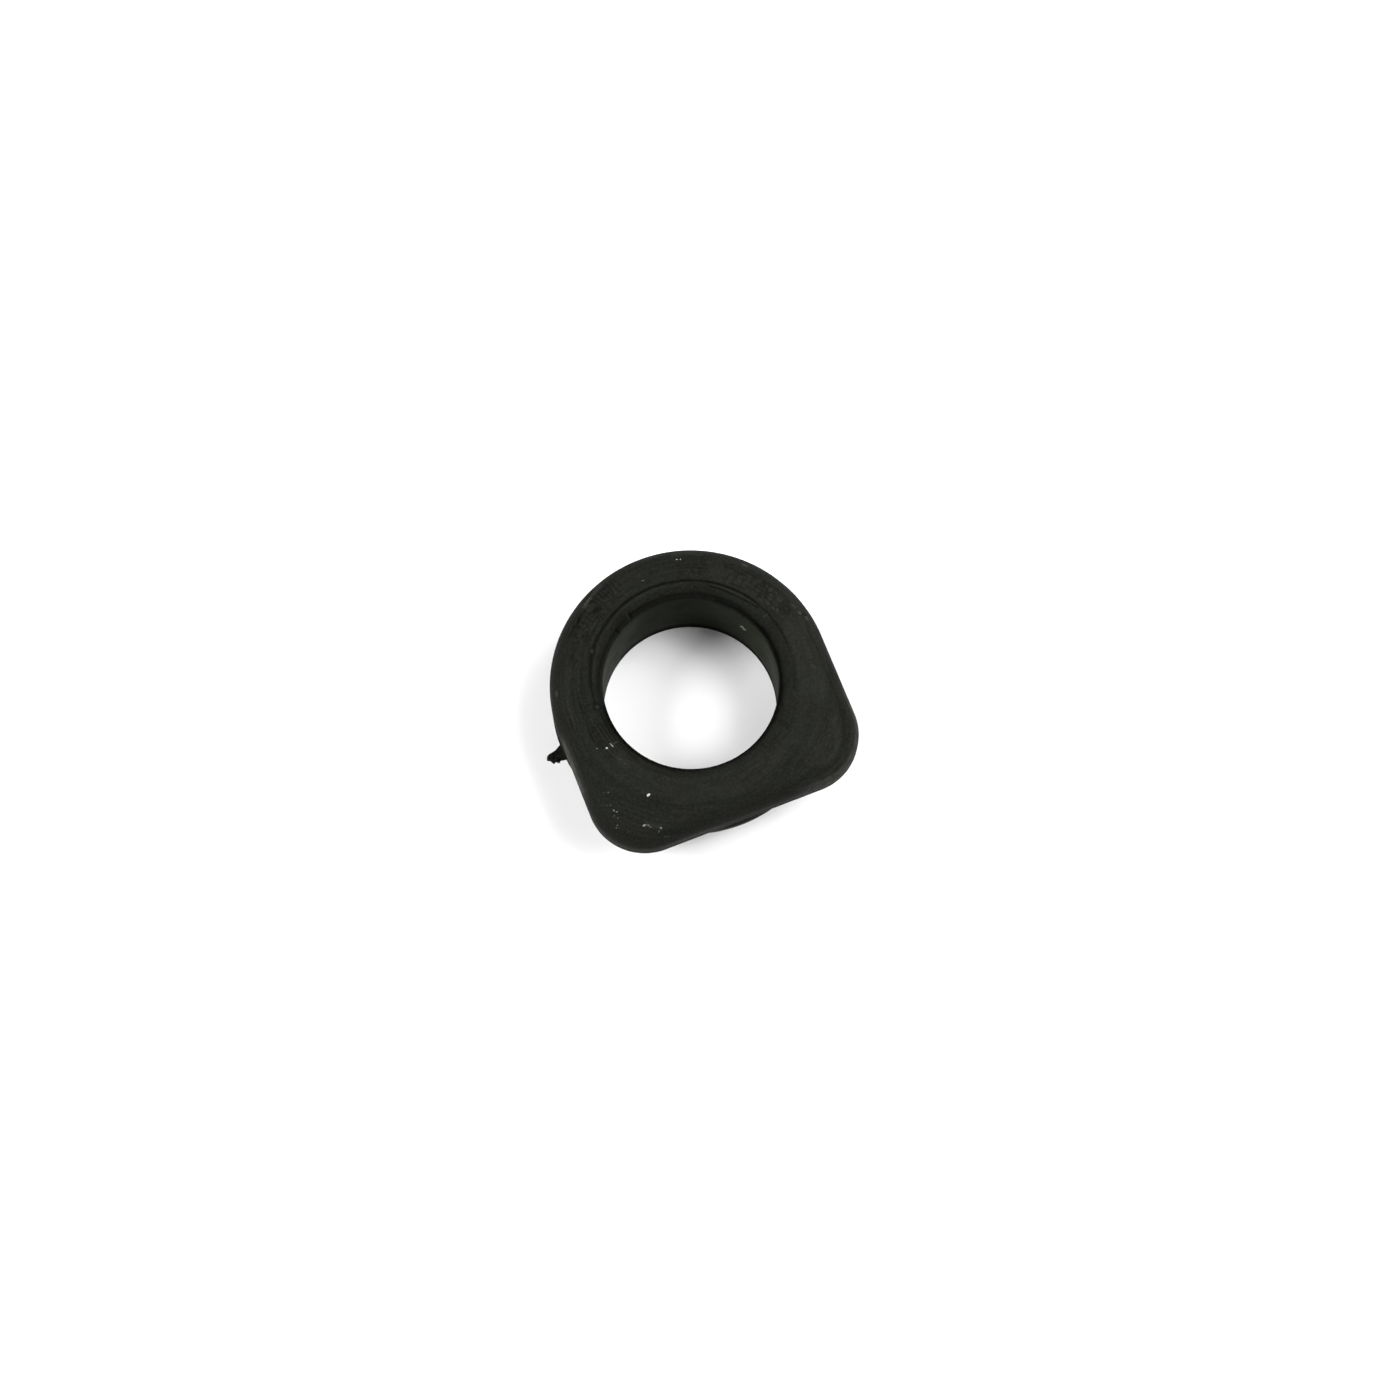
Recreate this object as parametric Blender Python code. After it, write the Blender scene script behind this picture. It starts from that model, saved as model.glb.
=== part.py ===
"""Valve cover grommet: one piece of moulded rubber.

A round bore runs up through the grommet. The upper flange has one end rounded about the bore
and a straight side across the other end, so it looks like a U from above. Below it a groove
takes the edge of the panel, and a round ring with a tapered lead-in holds the grommet in place.
A torn remnant of the moulding gate stands out from the rim of that ring.

Frame: metres, +Z up, straight side of the flange at -Y, torn remnant at -X. The origin lies at
the foot, in the middle of the whole piece's bounding box. The object's own origin is on the
bore's axis, which stands a little aside of that because of the remnant and the straight side.
"""
from math import acos, atan2, cos, degrees, hypot, pi, radians, sin

import bmesh
import bpy
from mathutils import Matrix

MM = 0.001

# Heights and radii of the turned shape
TOTAL_HEIGHT = 17.0 * MM
BORE_RADIUS = 12.7 * MM
BORE_FOOT_RADIUS = 12.9 * MM
BORE_FOOT_ROUNDING = 0.5 * MM
LIP_ROUNDING = 2.6 * MM
LIP_CREASE_RADIUS = 14.8 * MM
GROOVE_RADIUS = 16.7 * MM
GROOVE_WIDTH = 3.2 * MM
GROOVE_CORNER_ROUNDING = 0.4 * MM
RING_RADIUS = 20.4 * MM
RING_EDGE_ROUNDING = 1.1 * MM
RING_LAND_HEIGHT = 0.8 * MM
FOOT_RADIUS = 16.6 * MM
FOOT_ROUNDING = 0.6 * MM

# Upper flange
FLANGE_THICKNESS = 5.5 * MM
FLANGE_END_RADIUS = 20.4 * MM
FLANGE_STRAIGHT_SIDE = 21.0 * MM
FLANGE_CORNER_RADIUS = 8.35 * MM
FLANGE_TOP_ROUNDING = 3.0 * MM
FLANGE_BOTTOM_ROUNDING = 0.85 * MM

# Torn gate remnant on the rim of the ring
NIB_REACH = 2.6 * MM
NIB_WIDTH = 2.8 * MM
NIB_THICKNESS = 1.1 * MM
NIB_ROOT_DEPTH = 1.2 * MM
NIB_EDGE_ROUNDING = 0.12 * MM
NIB_DIRECTION = radians(182.3)

# Its torn outline, as shares of its reach past the rim and of its width: smooth on the side
# towards the round end, jagged on the side towards the straight side
NIB_TORN_OUTLINE = [
    (0.00, -0.39), (0.37, -0.21), (0.58, -0.18), (0.80, -0.15), (0.94, -0.06), (1.00, 0.07),
    (0.84, 0.16), (0.73, 0.38), (0.58, 0.32), (0.42, 0.45), (0.29, 0.35), (0.00, 0.42),
]

# Heights that follow from the sizes above
FLANGE_UNDERSIDE = TOTAL_HEIGHT - FLANGE_THICKNESS
RING_TOP = FLANGE_UNDERSIDE - GROOVE_WIDTH
RING_LAND_TOP = RING_TOP - RING_EDGE_ROUNDING
RING_LAND_FOOT = RING_LAND_TOP - RING_LAND_HEIGHT

# Place of the bore's axis, with the bounding box of the whole piece centred on the origin
BORE_AXIS_X = (RING_RADIUS + NIB_REACH - FLANGE_END_RADIUS) / 2
BORE_AXIS_Y = (FLANGE_STRAIGHT_SIDE - FLANGE_END_RADIUS) / 2

# How finely the shape is faceted
TURN_STEPS = 96
CORNER_STEPS = 12
TOP_ROUNDING_STEPS = 8
LIP_STEPS = 10
EDGE_ROUNDING_STEPS = 4
SHARP_EDGE_ANGLE = radians(35)

# Points closer together than this are one point
CLOSEST = 0.001 * MM

# How far a cutter or a hidden end runs past the surface that it crosses
OVERRUN = 1.0 * MM

# The rounding at the bore's foot turns through this many degrees, just short of flush with the
# foot face, so that the cutter crosses that face at a clear angle
BORE_FOOT_SWEEP = 80


def arc(centre_x, centre_y, radius, start_deg, end_deg, steps):
    """Return points along an arc, both ends included."""
    points = []
    for step in range(steps + 1):
        angle = radians(start_deg + (end_deg - start_deg) * step / steps)
        points.append((centre_x + radius * cos(angle), centre_y + radius * sin(angle)))
    return points


def tangent_angle(centre, radius, point):
    """Angle in degrees, seen from an arc's centre, at which a line down from the point meets it."""
    aside, above = point[0] - centre[0], point[1] - centre[1]
    return degrees(atan2(above, aside) - acos(radius / hypot(aside, above)))


def without_repeats(points):
    """Drop each point that lies on the one before it."""
    kept = []
    for point in points:
        if not kept or max(abs(point[0] - kept[-1][0]), abs(point[1] - kept[-1][1])) > CLOSEST:
            kept.append(point)
    return kept


def new_object(name, mesh_builder):
    """Turn a bmesh into a named object in the scene."""
    bmesh.ops.recalc_face_normals(mesh_builder, faces=mesh_builder.faces)
    mesh = bpy.data.meshes.new(name)
    mesh_builder.to_mesh(mesh)
    mesh_builder.free()
    obj = bpy.data.objects.new(name, mesh)
    bpy.context.scene.collection.objects.link(obj)
    return obj


def turned_solid(name, profile):
    """Spin a profile of (radius, height) points, which starts and ends on the axis."""
    builder = bmesh.new()
    vertices = [builder.verts.new((radius, 0.0, height)) for radius, height in profile]
    edges = [builder.edges.new(pair) for pair in zip(vertices, vertices[1:])]
    bmesh.ops.spin(
        builder,
        geom=vertices + edges,
        cent=(0.0, 0.0, 0.0),
        axis=(0.0, 0.0, 1.0),
        angle=2 * pi,
        steps=TURN_STEPS,
        use_merge=True,
    )
    bmesh.ops.remove_doubles(builder, verts=builder.verts, dist=CLOSEST)
    return new_object(name, builder)


def plate(outline, bottom, top):
    """Extrude a closed outline between two heights and return its bmesh with both end loops."""
    builder = bmesh.new()
    face = builder.faces.new([builder.verts.new((x, y, bottom)) for x, y in outline])
    lower_edges = list(face.edges)
    extruded = bmesh.ops.extrude_face_region(builder, geom=[face], use_keep_orig=True)["geom"]
    upper_vertices = [item for item in extruded if isinstance(item, bmesh.types.BMVert)]
    upper_edges = [item for item in extruded if isinstance(item, bmesh.types.BMEdge)]
    bmesh.ops.translate(builder, verts=upper_vertices, vec=(0.0, 0.0, top - bottom))
    return builder, lower_edges, upper_edges


def round_edges(builder, edges, radius, steps):
    """Round the given edges of a bmesh with a circular bevel."""
    bmesh.ops.bevel(
        builder,
        geom=edges,
        offset=radius,
        offset_type="OFFSET",
        affect="EDGES",
        segments=steps,
        profile=0.5,
        material=-1,
    )


def flange_outline():
    """The U outline: a round end about the bore, two straight sides, a straight side across."""
    corner_x = FLANGE_END_RADIUS - FLANGE_CORNER_RADIUS
    corner_y = FLANGE_CORNER_RADIUS - FLANGE_STRAIGHT_SIDE
    outline = arc(0.0, 0.0, FLANGE_END_RADIUS, 0, 180, TURN_STEPS // 2)
    outline += arc(-corner_x, corner_y, FLANGE_CORNER_RADIUS, 180, 270, CORNER_STEPS)
    outline += arc(corner_x, corner_y, FLANGE_CORNER_RADIUS, 270, 360, CORNER_STEPS)
    return outline


def make_flange():
    """Upper flange with a generous rounding above and a small one below."""
    builder, lower_edges, upper_edges = plate(flange_outline(), FLANGE_UNDERSIDE, TOTAL_HEIGHT)
    round_edges(builder, upper_edges, FLANGE_TOP_ROUNDING, TOP_ROUNDING_STEPS)
    lower_edges = [edge for edge in lower_edges if edge.is_valid]
    round_edges(builder, lower_edges, FLANGE_BOTTOM_ROUNDING, EDGE_ROUNDING_STEPS)
    return new_object("flange", builder)


def neck_and_ring_profile():
    """Half section of the neck, the groove's inner wall, the ring and its tapered lead-in."""
    inside_flange = FLANGE_UNDERSIDE + FLANGE_THICKNESS / 2
    groove_corner = GROOVE_RADIUS + GROOVE_CORNER_ROUNDING
    ring_edge = RING_RADIUS - RING_EDGE_ROUNDING
    profile = [(0.0, inside_flange), (groove_corner, inside_flange)]
    profile += arc(
        groove_corner, FLANGE_UNDERSIDE - GROOVE_CORNER_ROUNDING, GROOVE_CORNER_ROUNDING,
        90, 180, EDGE_ROUNDING_STEPS,
    )
    profile += arc(
        groove_corner, RING_TOP + GROOVE_CORNER_ROUNDING, GROOVE_CORNER_ROUNDING,
        180, 270, EDGE_ROUNDING_STEPS,
    )
    profile += arc(ring_edge, RING_LAND_TOP, RING_EDGE_ROUNDING, 90, 0, EDGE_ROUNDING_STEPS)
    land_foot = (RING_RADIUS, RING_LAND_FOOT)
    foot_centre = (FOOT_RADIUS - FOOT_ROUNDING, FOOT_ROUNDING)
    taper_end = tangent_angle(foot_centre, FOOT_ROUNDING, land_foot)
    profile.append(land_foot)
    profile += arc(*foot_centre, FOOT_ROUNDING, taper_end, -90, EDGE_ROUNDING_STEPS)
    profile.append((0.0, 0.0))
    return without_repeats(profile)


def make_neck_and_ring():
    """Neck, groove wall, ring and lead-in as one turned solid that reaches into the flange."""
    return turned_solid("neck_and_ring", neck_and_ring_profile())


def bore_profile():
    """Half section of the space in the bore, with the rounded lip above and rounding below."""
    lip_centre = BORE_RADIUS + LIP_ROUNDING
    crease_share = (lip_centre - LIP_CREASE_RADIUS) / LIP_ROUNDING
    crease_height = LIP_ROUNDING * (1.0 - crease_share ** 2) ** 0.5
    lip_centre_height = TOTAL_HEIGHT - crease_height
    foot_centre = BORE_FOOT_RADIUS + BORE_FOOT_ROUNDING
    above = TOTAL_HEIGHT + OVERRUN
    profile = [(0.0, above), (LIP_CREASE_RADIUS + OVERRUN, above)]
    profile += arc(lip_centre, lip_centre_height, LIP_ROUNDING, 90, 180, LIP_STEPS)
    profile += arc(
        foot_centre, BORE_FOOT_ROUNDING, BORE_FOOT_ROUNDING,
        180, 180 + BORE_FOOT_SWEEP, EDGE_ROUNDING_STEPS,
    )
    profile += [(foot_centre, -OVERRUN), (0.0, -OVERRUN)]
    return without_repeats(profile)


def make_bore_cutter():
    """The bore as a turned solid to be taken out of the rubber."""
    return turned_solid("bore", bore_profile())


def make_nib():
    """Torn gate remnant: a thin flat tongue with a jagged end, rooted in the ring's rim."""
    outline = [(-NIB_ROOT_DEPTH, -NIB_WIDTH / 2)]
    outline += [(NIB_REACH * along, NIB_WIDTH * across) for along, across in NIB_TORN_OUTLINE]
    outline.append((-NIB_ROOT_DEPTH, NIB_WIDTH / 2))
    middle = (RING_LAND_TOP + RING_LAND_FOOT) / 2
    builder, lower_edges, upper_edges = plate(
        outline, middle - NIB_THICKNESS / 2, middle + NIB_THICKNESS / 2
    )
    round_edges(builder, lower_edges + upper_edges, NIB_EDGE_ROUNDING, 1)
    place = Matrix.Rotation(NIB_DIRECTION, 4, "Z") @ Matrix.Translation((RING_RADIUS, 0.0, 0.0))
    bmesh.ops.transform(builder, matrix=place, verts=builder.verts)
    return new_object("nib", builder)


def combine(target, tool, operation):
    """Add an exact Boolean of the target with a tool, which stays out of renders."""
    tool.hide_render = True
    tool.display_type = "WIRE"
    modifier = target.modifiers.new(tool.name, "BOOLEAN")
    modifier.operation = operation
    modifier.solver = "EXACT"
    modifier.object = tool


def settle(obj, tools):
    """Apply the modifiers of the object and remove the tools that they used."""
    bpy.context.view_layer.update()
    evaluated = obj.evaluated_get(bpy.context.evaluated_depsgraph_get())
    mesh = bpy.data.meshes.new_from_object(evaluated)
    obj.modifiers.clear()
    obj.data = mesh
    mesh.name = obj.name
    for tool in tools:
        bpy.data.objects.remove(tool, do_unlink=True)


def black_rubber():
    """Worn charcoal rubber, nearly matt."""
    material = bpy.data.materials.new("black_rubber")
    material.use_nodes = True
    shader = material.node_tree.nodes["Principled BSDF"]
    shader.inputs["Base Color"].default_value = (0.022, 0.024, 0.021, 1.0)
    shader.inputs["Roughness"].default_value = 0.62
    shader.inputs["Metallic"].default_value = 0.0
    return material


def main():
    """Build the grommet as one solid."""
    for old in list(bpy.data.objects):
        bpy.data.objects.remove(old, do_unlink=True)
    grommet = make_flange()
    grommet.name = "grommet"
    neck_and_ring = make_neck_and_ring()
    nib = make_nib()
    bore = make_bore_cutter()
    combine(grommet, neck_and_ring, "UNION")
    combine(grommet, nib, "UNION")
    combine(grommet, bore, "DIFFERENCE")
    settle(grommet, [neck_and_ring, nib, bore])
    grommet.location = (BORE_AXIS_X, BORE_AXIS_Y, 0.0)
    grommet.data.materials.clear()
    grommet.data.materials.append(black_rubber())
    grommet.data.shade_smooth()
    grommet.data.set_sharp_from_angle(angle=SHARP_EDGE_ANGLE)


if __name__ == "__main__":
    main()
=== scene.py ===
"""Looks of a worn valve cover grommet of black rubber, lying on its foot on a pale floor.

The grommet is one dense mesh. Its half section is spun round the bore's axis, and the part above
the groove is then drawn out to the flange's outline, which has one straight side. Cracks,
creases and chips are pressed into that mesh and marked in point attributes, which the rubber
material reads. Specks of dried residue are small flattened crumbs that lie on the rubber.

Sizes are in millimetres in the classes and turned into metres where a mesh is made. Places on
the grommet are measured from the bore's axis, and angles run anticlockwise from +X.
"""
from __future__ import annotations

import logging
from dataclasses import dataclass, field
from enum import Enum
from math import atan2, cos, degrees, pi, radians, sin, sqrt

import bmesh
import bpy
import numpy as np
from mathutils import Matrix, Vector
from mathutils.bvhtree import BVHTree


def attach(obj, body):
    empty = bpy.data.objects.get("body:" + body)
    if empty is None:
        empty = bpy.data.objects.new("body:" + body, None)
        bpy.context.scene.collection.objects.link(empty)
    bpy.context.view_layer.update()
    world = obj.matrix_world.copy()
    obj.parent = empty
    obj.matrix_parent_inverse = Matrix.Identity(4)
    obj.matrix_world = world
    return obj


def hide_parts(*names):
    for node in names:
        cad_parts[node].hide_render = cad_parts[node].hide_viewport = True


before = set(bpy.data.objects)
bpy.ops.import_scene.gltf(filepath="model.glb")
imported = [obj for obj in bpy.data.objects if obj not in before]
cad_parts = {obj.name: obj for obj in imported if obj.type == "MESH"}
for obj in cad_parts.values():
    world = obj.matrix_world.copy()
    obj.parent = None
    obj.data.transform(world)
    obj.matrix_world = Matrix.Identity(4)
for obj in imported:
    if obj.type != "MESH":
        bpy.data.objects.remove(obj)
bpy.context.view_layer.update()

LOG = logging.getLogger("grommet")

MM = 0.001
NODE = "grommet"
BODY = "root"
RANDOM_SEED = 41
NOISE_VALUES = 4096
NOISE_STRIDES = (73856093, 19349663, 83492791)
TINY = 1e-9

# Place of the bore's axis in the part's frame, in mm
BORE_AXIS = (1.3, 0.3)

# Gaps in mm under which points are merged, or count as level with a face
MERGE_GAP = 0.0005
LEVEL_GAP = 0.001

Point = tuple[float, float]
Colour = tuple[float, float, float]


def arc(centre: Point, radius: float, start: float, end: float, steps: int) -> list[Point]:
    """Points along an arc.

    Args:
        centre: The arc's centre.
        radius: Its radius.
        start: Angle of the first point, in degrees.
        end: Angle of the last point, in degrees.
        steps: Number of stretches between the points.

    Returns:
        The points, both ends included.
    """
    angles = [radians(start + (end - start) * step / steps) for step in range(steps + 1)]
    return [(centre[0] + radius * cos(a), centre[1] + radius * sin(a)) for a in angles]


def line(start: Point, end: Point, steps: int) -> list[Point]:
    """Evenly spaced points after the start of a straight stretch, up to its end.

    Args:
        start: The end that is left out.
        end: The end that is included.
        steps: Number of points.

    Returns:
        The points in order.
    """
    shares = [step / steps for step in range(1, steps + 1)]
    return [(start[0] + (end[0] - start[0]) * s, start[1] + (end[1] - start[1]) * s) for s in shares]


def smooth_share(values: np.ndarray, low: float, high: float) -> np.ndarray:
    """Share of the way from low to high, eased at both ends and kept within 0 and 1."""
    share = np.clip((values - low) / (high - low), 0.0, 1.0)
    return share * share * (3.0 - 2.0 * share)


def window(values: np.ndarray, low: float, high: float, soft: float) -> np.ndarray:
    """Share that rises from 0 after low and is back at 0 at high, over soft stretches."""
    return smooth_share(values, low, low + soft) * (1.0 - smooth_share(values, high - soft, high))


class Face(Enum):
    """The face of the grommet that a mark lies on."""

    TOP = "top"
    LIP = "lip"
    WALL = "wall"
    SIDE = "side"


@dataclass(frozen=True)
class Mark:
    """A line-like mark: a groove pressed in and darkened with painted shade, a line of painted
    shade, a pale scuff or a painted highlight.

    Points are (angle in degrees, radius in mm) when polar is set, otherwise (x, y) in mm.
    Depth is in mm, dark and pale are shares from 0 to 1.
    """

    points: tuple[Point, ...]
    width: float
    depth: float = 0.0
    dark: float = 0.0
    pale: float = 0.0
    face: Face = Face.TOP
    polar: bool = True


@dataclass(frozen=True)
class Speck:
    """A crumb of residue: place, length, width and thickness in mm, turn in degrees.

    Shade runs from 0, nearly as dark as the rubber, to 1, almost white. A speck with a wall
    height lies on the bore's wall, in the direction of its place.
    """

    x: float
    y: float
    length: float
    width: float
    turn: float = 0.0
    shade: float = 0.5
    thickness: float = 0.05
    wall_height: float = -1.0


@dataclass(frozen=True)
class Patch:
    """A part of the upper face: angles in degrees, radii in mm, share up to 1.

    The border is the soft part at each end, as a share of the patch.
    """

    start: float
    end: float
    inner: float
    outer: float
    share: float
    border: float = 0.2


@dataclass(frozen=True)
class Hatch:
    """A row of fine scratches: angles in degrees, radii in mm.

    The scratches run round the bore when ringed is set, otherwise outwards from it. Each covers
    a share of the row's length, its run. Sways, slant and steps keep them from lying too evenly.
    """

    start: float
    end: float
    inner: float
    outer: float
    count: int
    dark: float
    pale: float
    ringed: bool = False
    run: float = 1.0
    width: float = 0.18
    depth: float = 0.03
    sway: float = 0.5
    ring_sways: Point = (2.0, 2.5)
    spoke_sway: float = 0.5
    slant: float = 0.08
    sway_step: float = 2.6
    start_step: float = 5.3

    def marks(self) -> tuple[Mark, ...]:
        """The scratches as marks, dark and pale by turns.

        Returns:
            The marks, in order.
        """
        made = []
        for index in range(self.count):
            share = (index + 0.5) / self.count
            shift = self.sway * sin(self.sway_step * index)
            delay = 0.5 + 0.5 * sin(self.start_step * index + self.start)
            first = (1.0 - self.run) * delay
            last = first + self.run
            turn, across = self.end - self.start, self.outer - self.inner
            if self.ringed:
                radius = self.inner + across * share
                ends = ((self.start + turn * first + self.ring_sways[0] * shift, radius),
                        (self.start + turn * last + self.ring_sways[1] * shift,
                         radius - self.slant))
            else:
                angle = self.start + turn * share
                shift *= self.spoke_sway
                ends = ((angle, self.inner + across * first + shift),
                        (angle + shift, self.inner + across * last))
            # Dark scratches are pressed in and darkened with painted shade
            dark, pale = (self.dark, 0.0) if index % 2 == 0 else (0.0, self.pale)
            made.append(Mark(ends, self.width, self.depth * dark, dark, pale))
        return tuple(made)


@dataclass(frozen=True)
class Bump:
    """A raised blob with a pressed ring round it, darkened with painted shade: polar place and sizes
    in mm.
    """

    angle: float
    radius: float
    size: float
    pale: float
    middle: float = 0.62
    ring_width: float = 0.16
    ring_depth: float = 0.14
    ring_dark: float = 0.6


@dataclass(frozen=True)
class RimHighlight:
    """A stretch of the flange's side painted paler, mostly as a painted highlight along the rim:
    angles in degrees, heights in mm.
    """

    start: float
    end: float
    low: float
    high: float
    pale: float
    soft_end: float = 0.25
    soft_height: float = 0.15
    unevenness: float = 0.6


# Seen in the photo on the rubber's upper face: creases and cracks that run round the bore
RING_MARKS = (
    # Dark shares here are painted shade in the creases and cracks
    Mark(((-26, 14.8), (-10, 14.9), (6, 14.92)), 0.26, 0.06, 0.3),
    Mark(((0, 14.92), (18, 14.93), (34, 14.95)), 0.30, 0.11, 0.6),
    Mark(((30, 14.95), (60, 14.97), (97, 14.98), (120, 14.92)), 0.32, 0.14, 0.92),
    Mark(((112, 14.88), (129, 14.8), (139, 14.85), (144, 14.75)), 0.50, 0.16, 0.7),
    Mark(((144, 14.7), (153, 14.45), (162, 14.35)), 0.48, 0.14, 0.55),
    Mark(((160, 14.38), (168, 14.15), (173, 14.1)), 0.26, 0.10, 0.55),
    Mark(((180, 13.75), (190, 13.8), (206, 13.85), (216, 14.1)), 0.24, 0.08, 0.7),
    Mark(((214, 14.3), (226, 14.35), (236, 14.4)), 0.20, 0.05, 0.5),
    Mark(((58, 14.35), (44, 14.2), (36, 14.25), (27, 14.5)), 0.24, 0.08, 0.85),
    # Pale lines just inside the crease ring: painted highlights
    Mark(((58, 14.62), (44, 14.55), (30, 14.62)), 0.16, pale=0.02),
    Mark(((126, 14.35), (112, 14.5), (96, 14.55), (84, 14.5)), 0.22, pale=0.012),
    Mark(((160, 13.95), (150, 14.0), (138, 14.2)), 0.26, pale=0.012),
    Mark(((52.3, 17.73), (49.9, 17.8), (47.9, 17.78), (45.2, 17.63), (43.1, 17.6)),
         0.30, 0.08, 0.75),
    Mark(((42.1, 18.6), (38.0, 18.64), (33.8, 18.6), (31.2, 18.66), (28.9, 18.45)),
         0.22, 0.06, 0.6),
    Mark(((26.7, 18.48), (21.8, 18.52), (16.9, 18.28), (12.2, 18.26), (10.4, 18.5)),
         0.26, 0.07, 0.65),
    Mark(((82, 17.2), (72, 17.35), (64.2, 17.45), (59.4, 17.55)), 0.18, 0.05, 0.45),
    Mark(((66.0, 16.8), (61.6, 16.91)), 0.24, 0.05, 0.5),
    Mark(((171, 16.3), (178, 16.0), (185, 16.35), (192, 16.6)), 0.22, 0.07, 0.6),
    Mark(((184, 15.9), (191, 15.95), (198, 16.3)), 0.20, 0.05, 0.45),
)

# Short cracks that run outwards from the bore
RADIAL_MARKS = (
    Mark(((48.7, 16.96), (50.1, 16.1), (50.2, 15.76)), 0.24, 0.07, 0.75),
    Mark(((46.0, 16.7), (46.2, 15.7)), 0.20, 0.06, 0.6),
    Mark(((12.1, 15.97), (11.4, 16.7), (11.1, 17.68), (10.4, 18.58)), 0.18, 0.06, 0.6),
    Mark(((37.0, 15.8), (38.5, 16.9), (37.6, 17.9)), 0.15, 0.04, 0.45),
    Mark(((23.5, 16.0), (25.0, 17.2), (23.8, 18.4)), 0.15, 0.04, 0.4),
    Mark(((172.5, 14.2), (173.5, 15.3), (172.8, 15.9)), 0.17, 0.05, 0.5),
    Mark(((139.0, 18.34), (139.4, 17.37), (131.5, 16.83)), 0.16, pale=0.018),
    Mark(((20.6, 14.2), (20.2, 14.8)), 0.16, pale=0.03),
    Mark(((-160.6, 14.6), (-160.3, 13.8)), 0.20, pale=0.05),
    Mark(((-48.5, 14.5), (-47.2, 15.6)), 0.20, 0.05, 0.5),
    Mark(((-62.0, 14.3), (-60.0, 14.5)), 0.22, 0.05, 0.55),
    Mark(((-11.0, 16.9), (-11.6, 17.6)), 0.20, 0.03, 0.35),
)

# Marks in the lip, darkened with painted shade, with a black line of painted shade along its inner
# edge
LIP_MARKS = (
    Mark(((110.3, 12.95), (110.0, 13.35)), 0.30, 0.16, 1.0, face=Face.LIP),
    Mark(((112.2, 12.95), (111.8, 13.6)), 0.20, pale=0.03, face=Face.LIP),
    Mark(((122.8, 12.85), (123.2, 13.2)), 0.32, 0.10, 0.9, face=Face.LIP),
    Mark(((-42.0, 13.4), (-44.0, 14.3)), 0.20, 0.04, 0.3, face=Face.LIP),
    Mark(((176, 12.75), (192, 13.0), (232, 13.08), (250, 12.9)), 1.10, dark=1.0, face=Face.LIP),
    Mark(((246, 12.9), (290, 12.85), (316, 12.98), (336, 12.98)), 0.95, dark=1.0, face=Face.LIP),
    Mark(((330, 12.98), (350, 13.0), (368, 13.0), (382, 12.95)), 0.56, dark=0.97, face=Face.LIP),
    Mark(((380, 12.95), (396, 12.92)), 0.50, dark=0.8, face=Face.LIP),
    Mark(((394, 12.92), (412, 12.9)), 0.44, dark=0.62, face=Face.LIP),
)

# The edge of the flange: a long crack beside it, chips, nicks and scuffs
EDGE_MARKS = (
    Mark(((9.1, 18.99), (5.1, 18.91), (2.0, 18.58), (-1.9, 18.53), (-8.6, 19.0)), 0.24, 0.07, 0.6),
    Mark(((11.0, 18.01), (7.8, 17.64), (5.7, 17.54)), 0.18, 0.04, 0.4),
    Mark(((18.75, -2.8), (18.6, -6.0), (18.6, -10.0), (18.2, -13.2)), 0.40, 0.06, 0.42,
         polar=False),
    Mark(((18.2, -13.2), (17.5, -15.6), (16.55, -17.0)), 0.40, 0.05, 0.3, polar=False),
    # A pale arc inside the right corner: a painted highlight
    Mark(((16.9, -13.0), (16.6, -15.2), (15.6, -16.9), (14.5, -17.9), (12.7, -18.4)), 0.90,
         pale=0.013, polar=False),
    Mark(((115.4, 19.7), (121.3, 19.6)), 0.26, 0.06, 0.85),
    Mark(((122.6, 19.0), (120.5, 19.1), (118.2, 19.1)), 0.62, 0.05, pale=0.055),
    Mark(((117.0, 19.2), (111.0, 19.3)), 0.60, pale=0.028),
    Mark(((45.0, 19.2), (43.0, 19.08)), 0.30, pale=0.08),
    Mark(((16.3, 18.51), (14.4, 18.58)), 0.36, pale=0.03),
    Mark(((11.6, 18.7), (10.6, 18.82)), 0.28, pale=0.09),
    Mark(((10.2, 18.95), (9.4, 19.3)), 0.30, 0.14, 0.9),
    Mark(((8.7, 19.25), (7.2, 19.25)), 0.28, pale=0.06),
    Mark(((163.4, 19.4), (165.4, 19.42)), 0.22, pale=0.08),
    Mark(((76.0, 19.2), (70.0, 19.25), (64.0, 19.1)), 0.60, pale=0.016),
    Mark(((-39.9, 25.1), (-39.3, 25.2)), 0.30, 0.12, 0.8),
)

# Faint scratches and smears of residue that the camera sees as paler rubber
FAINT_MARKS = (
    Mark(((-7.94, -17.67), (-8.07, -18.39), (-8.98, -18.79)), 0.22, pale=0.014, polar=False),
    Mark(((-10.2, -17.8), (-9.3, -17.3), (-8.6, -17.4)), 0.40, pale=0.007, polar=False),
    Mark(((-14.1, -6.9), (-12.9, -8.9)), 0.60, pale=0.010, polar=False),
    Mark(((-13.6, -17.5), (-13.0, -18.0), (-12.2, -18.5)), 0.55, pale=0.016, polar=False),
    Mark(((8.9, -13.2), (10.6, -13.8)), 0.70, pale=0.006, polar=False),
    Mark(((-14.4, 17.5), (-15.3, 17.95)), 0.24, pale=0.03),
    Mark(((167.0, 17.7), (150.0, 17.6)), 0.60, pale=0.009),
    Mark(((182.0, 17.9), (166.0, 17.9)), 0.40, pale=0.009),
    Mark(((168.0, 16.9), (150.0, 16.9)), 0.26, 0.02, 0.3),
    Mark(((165.0, 16.3), (148.0, 16.2)), 0.40, pale=0.008),
    Mark(((176.0, 17.3), (158.0, 17.25)), 0.24, 0.02, 0.25),
)

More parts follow.
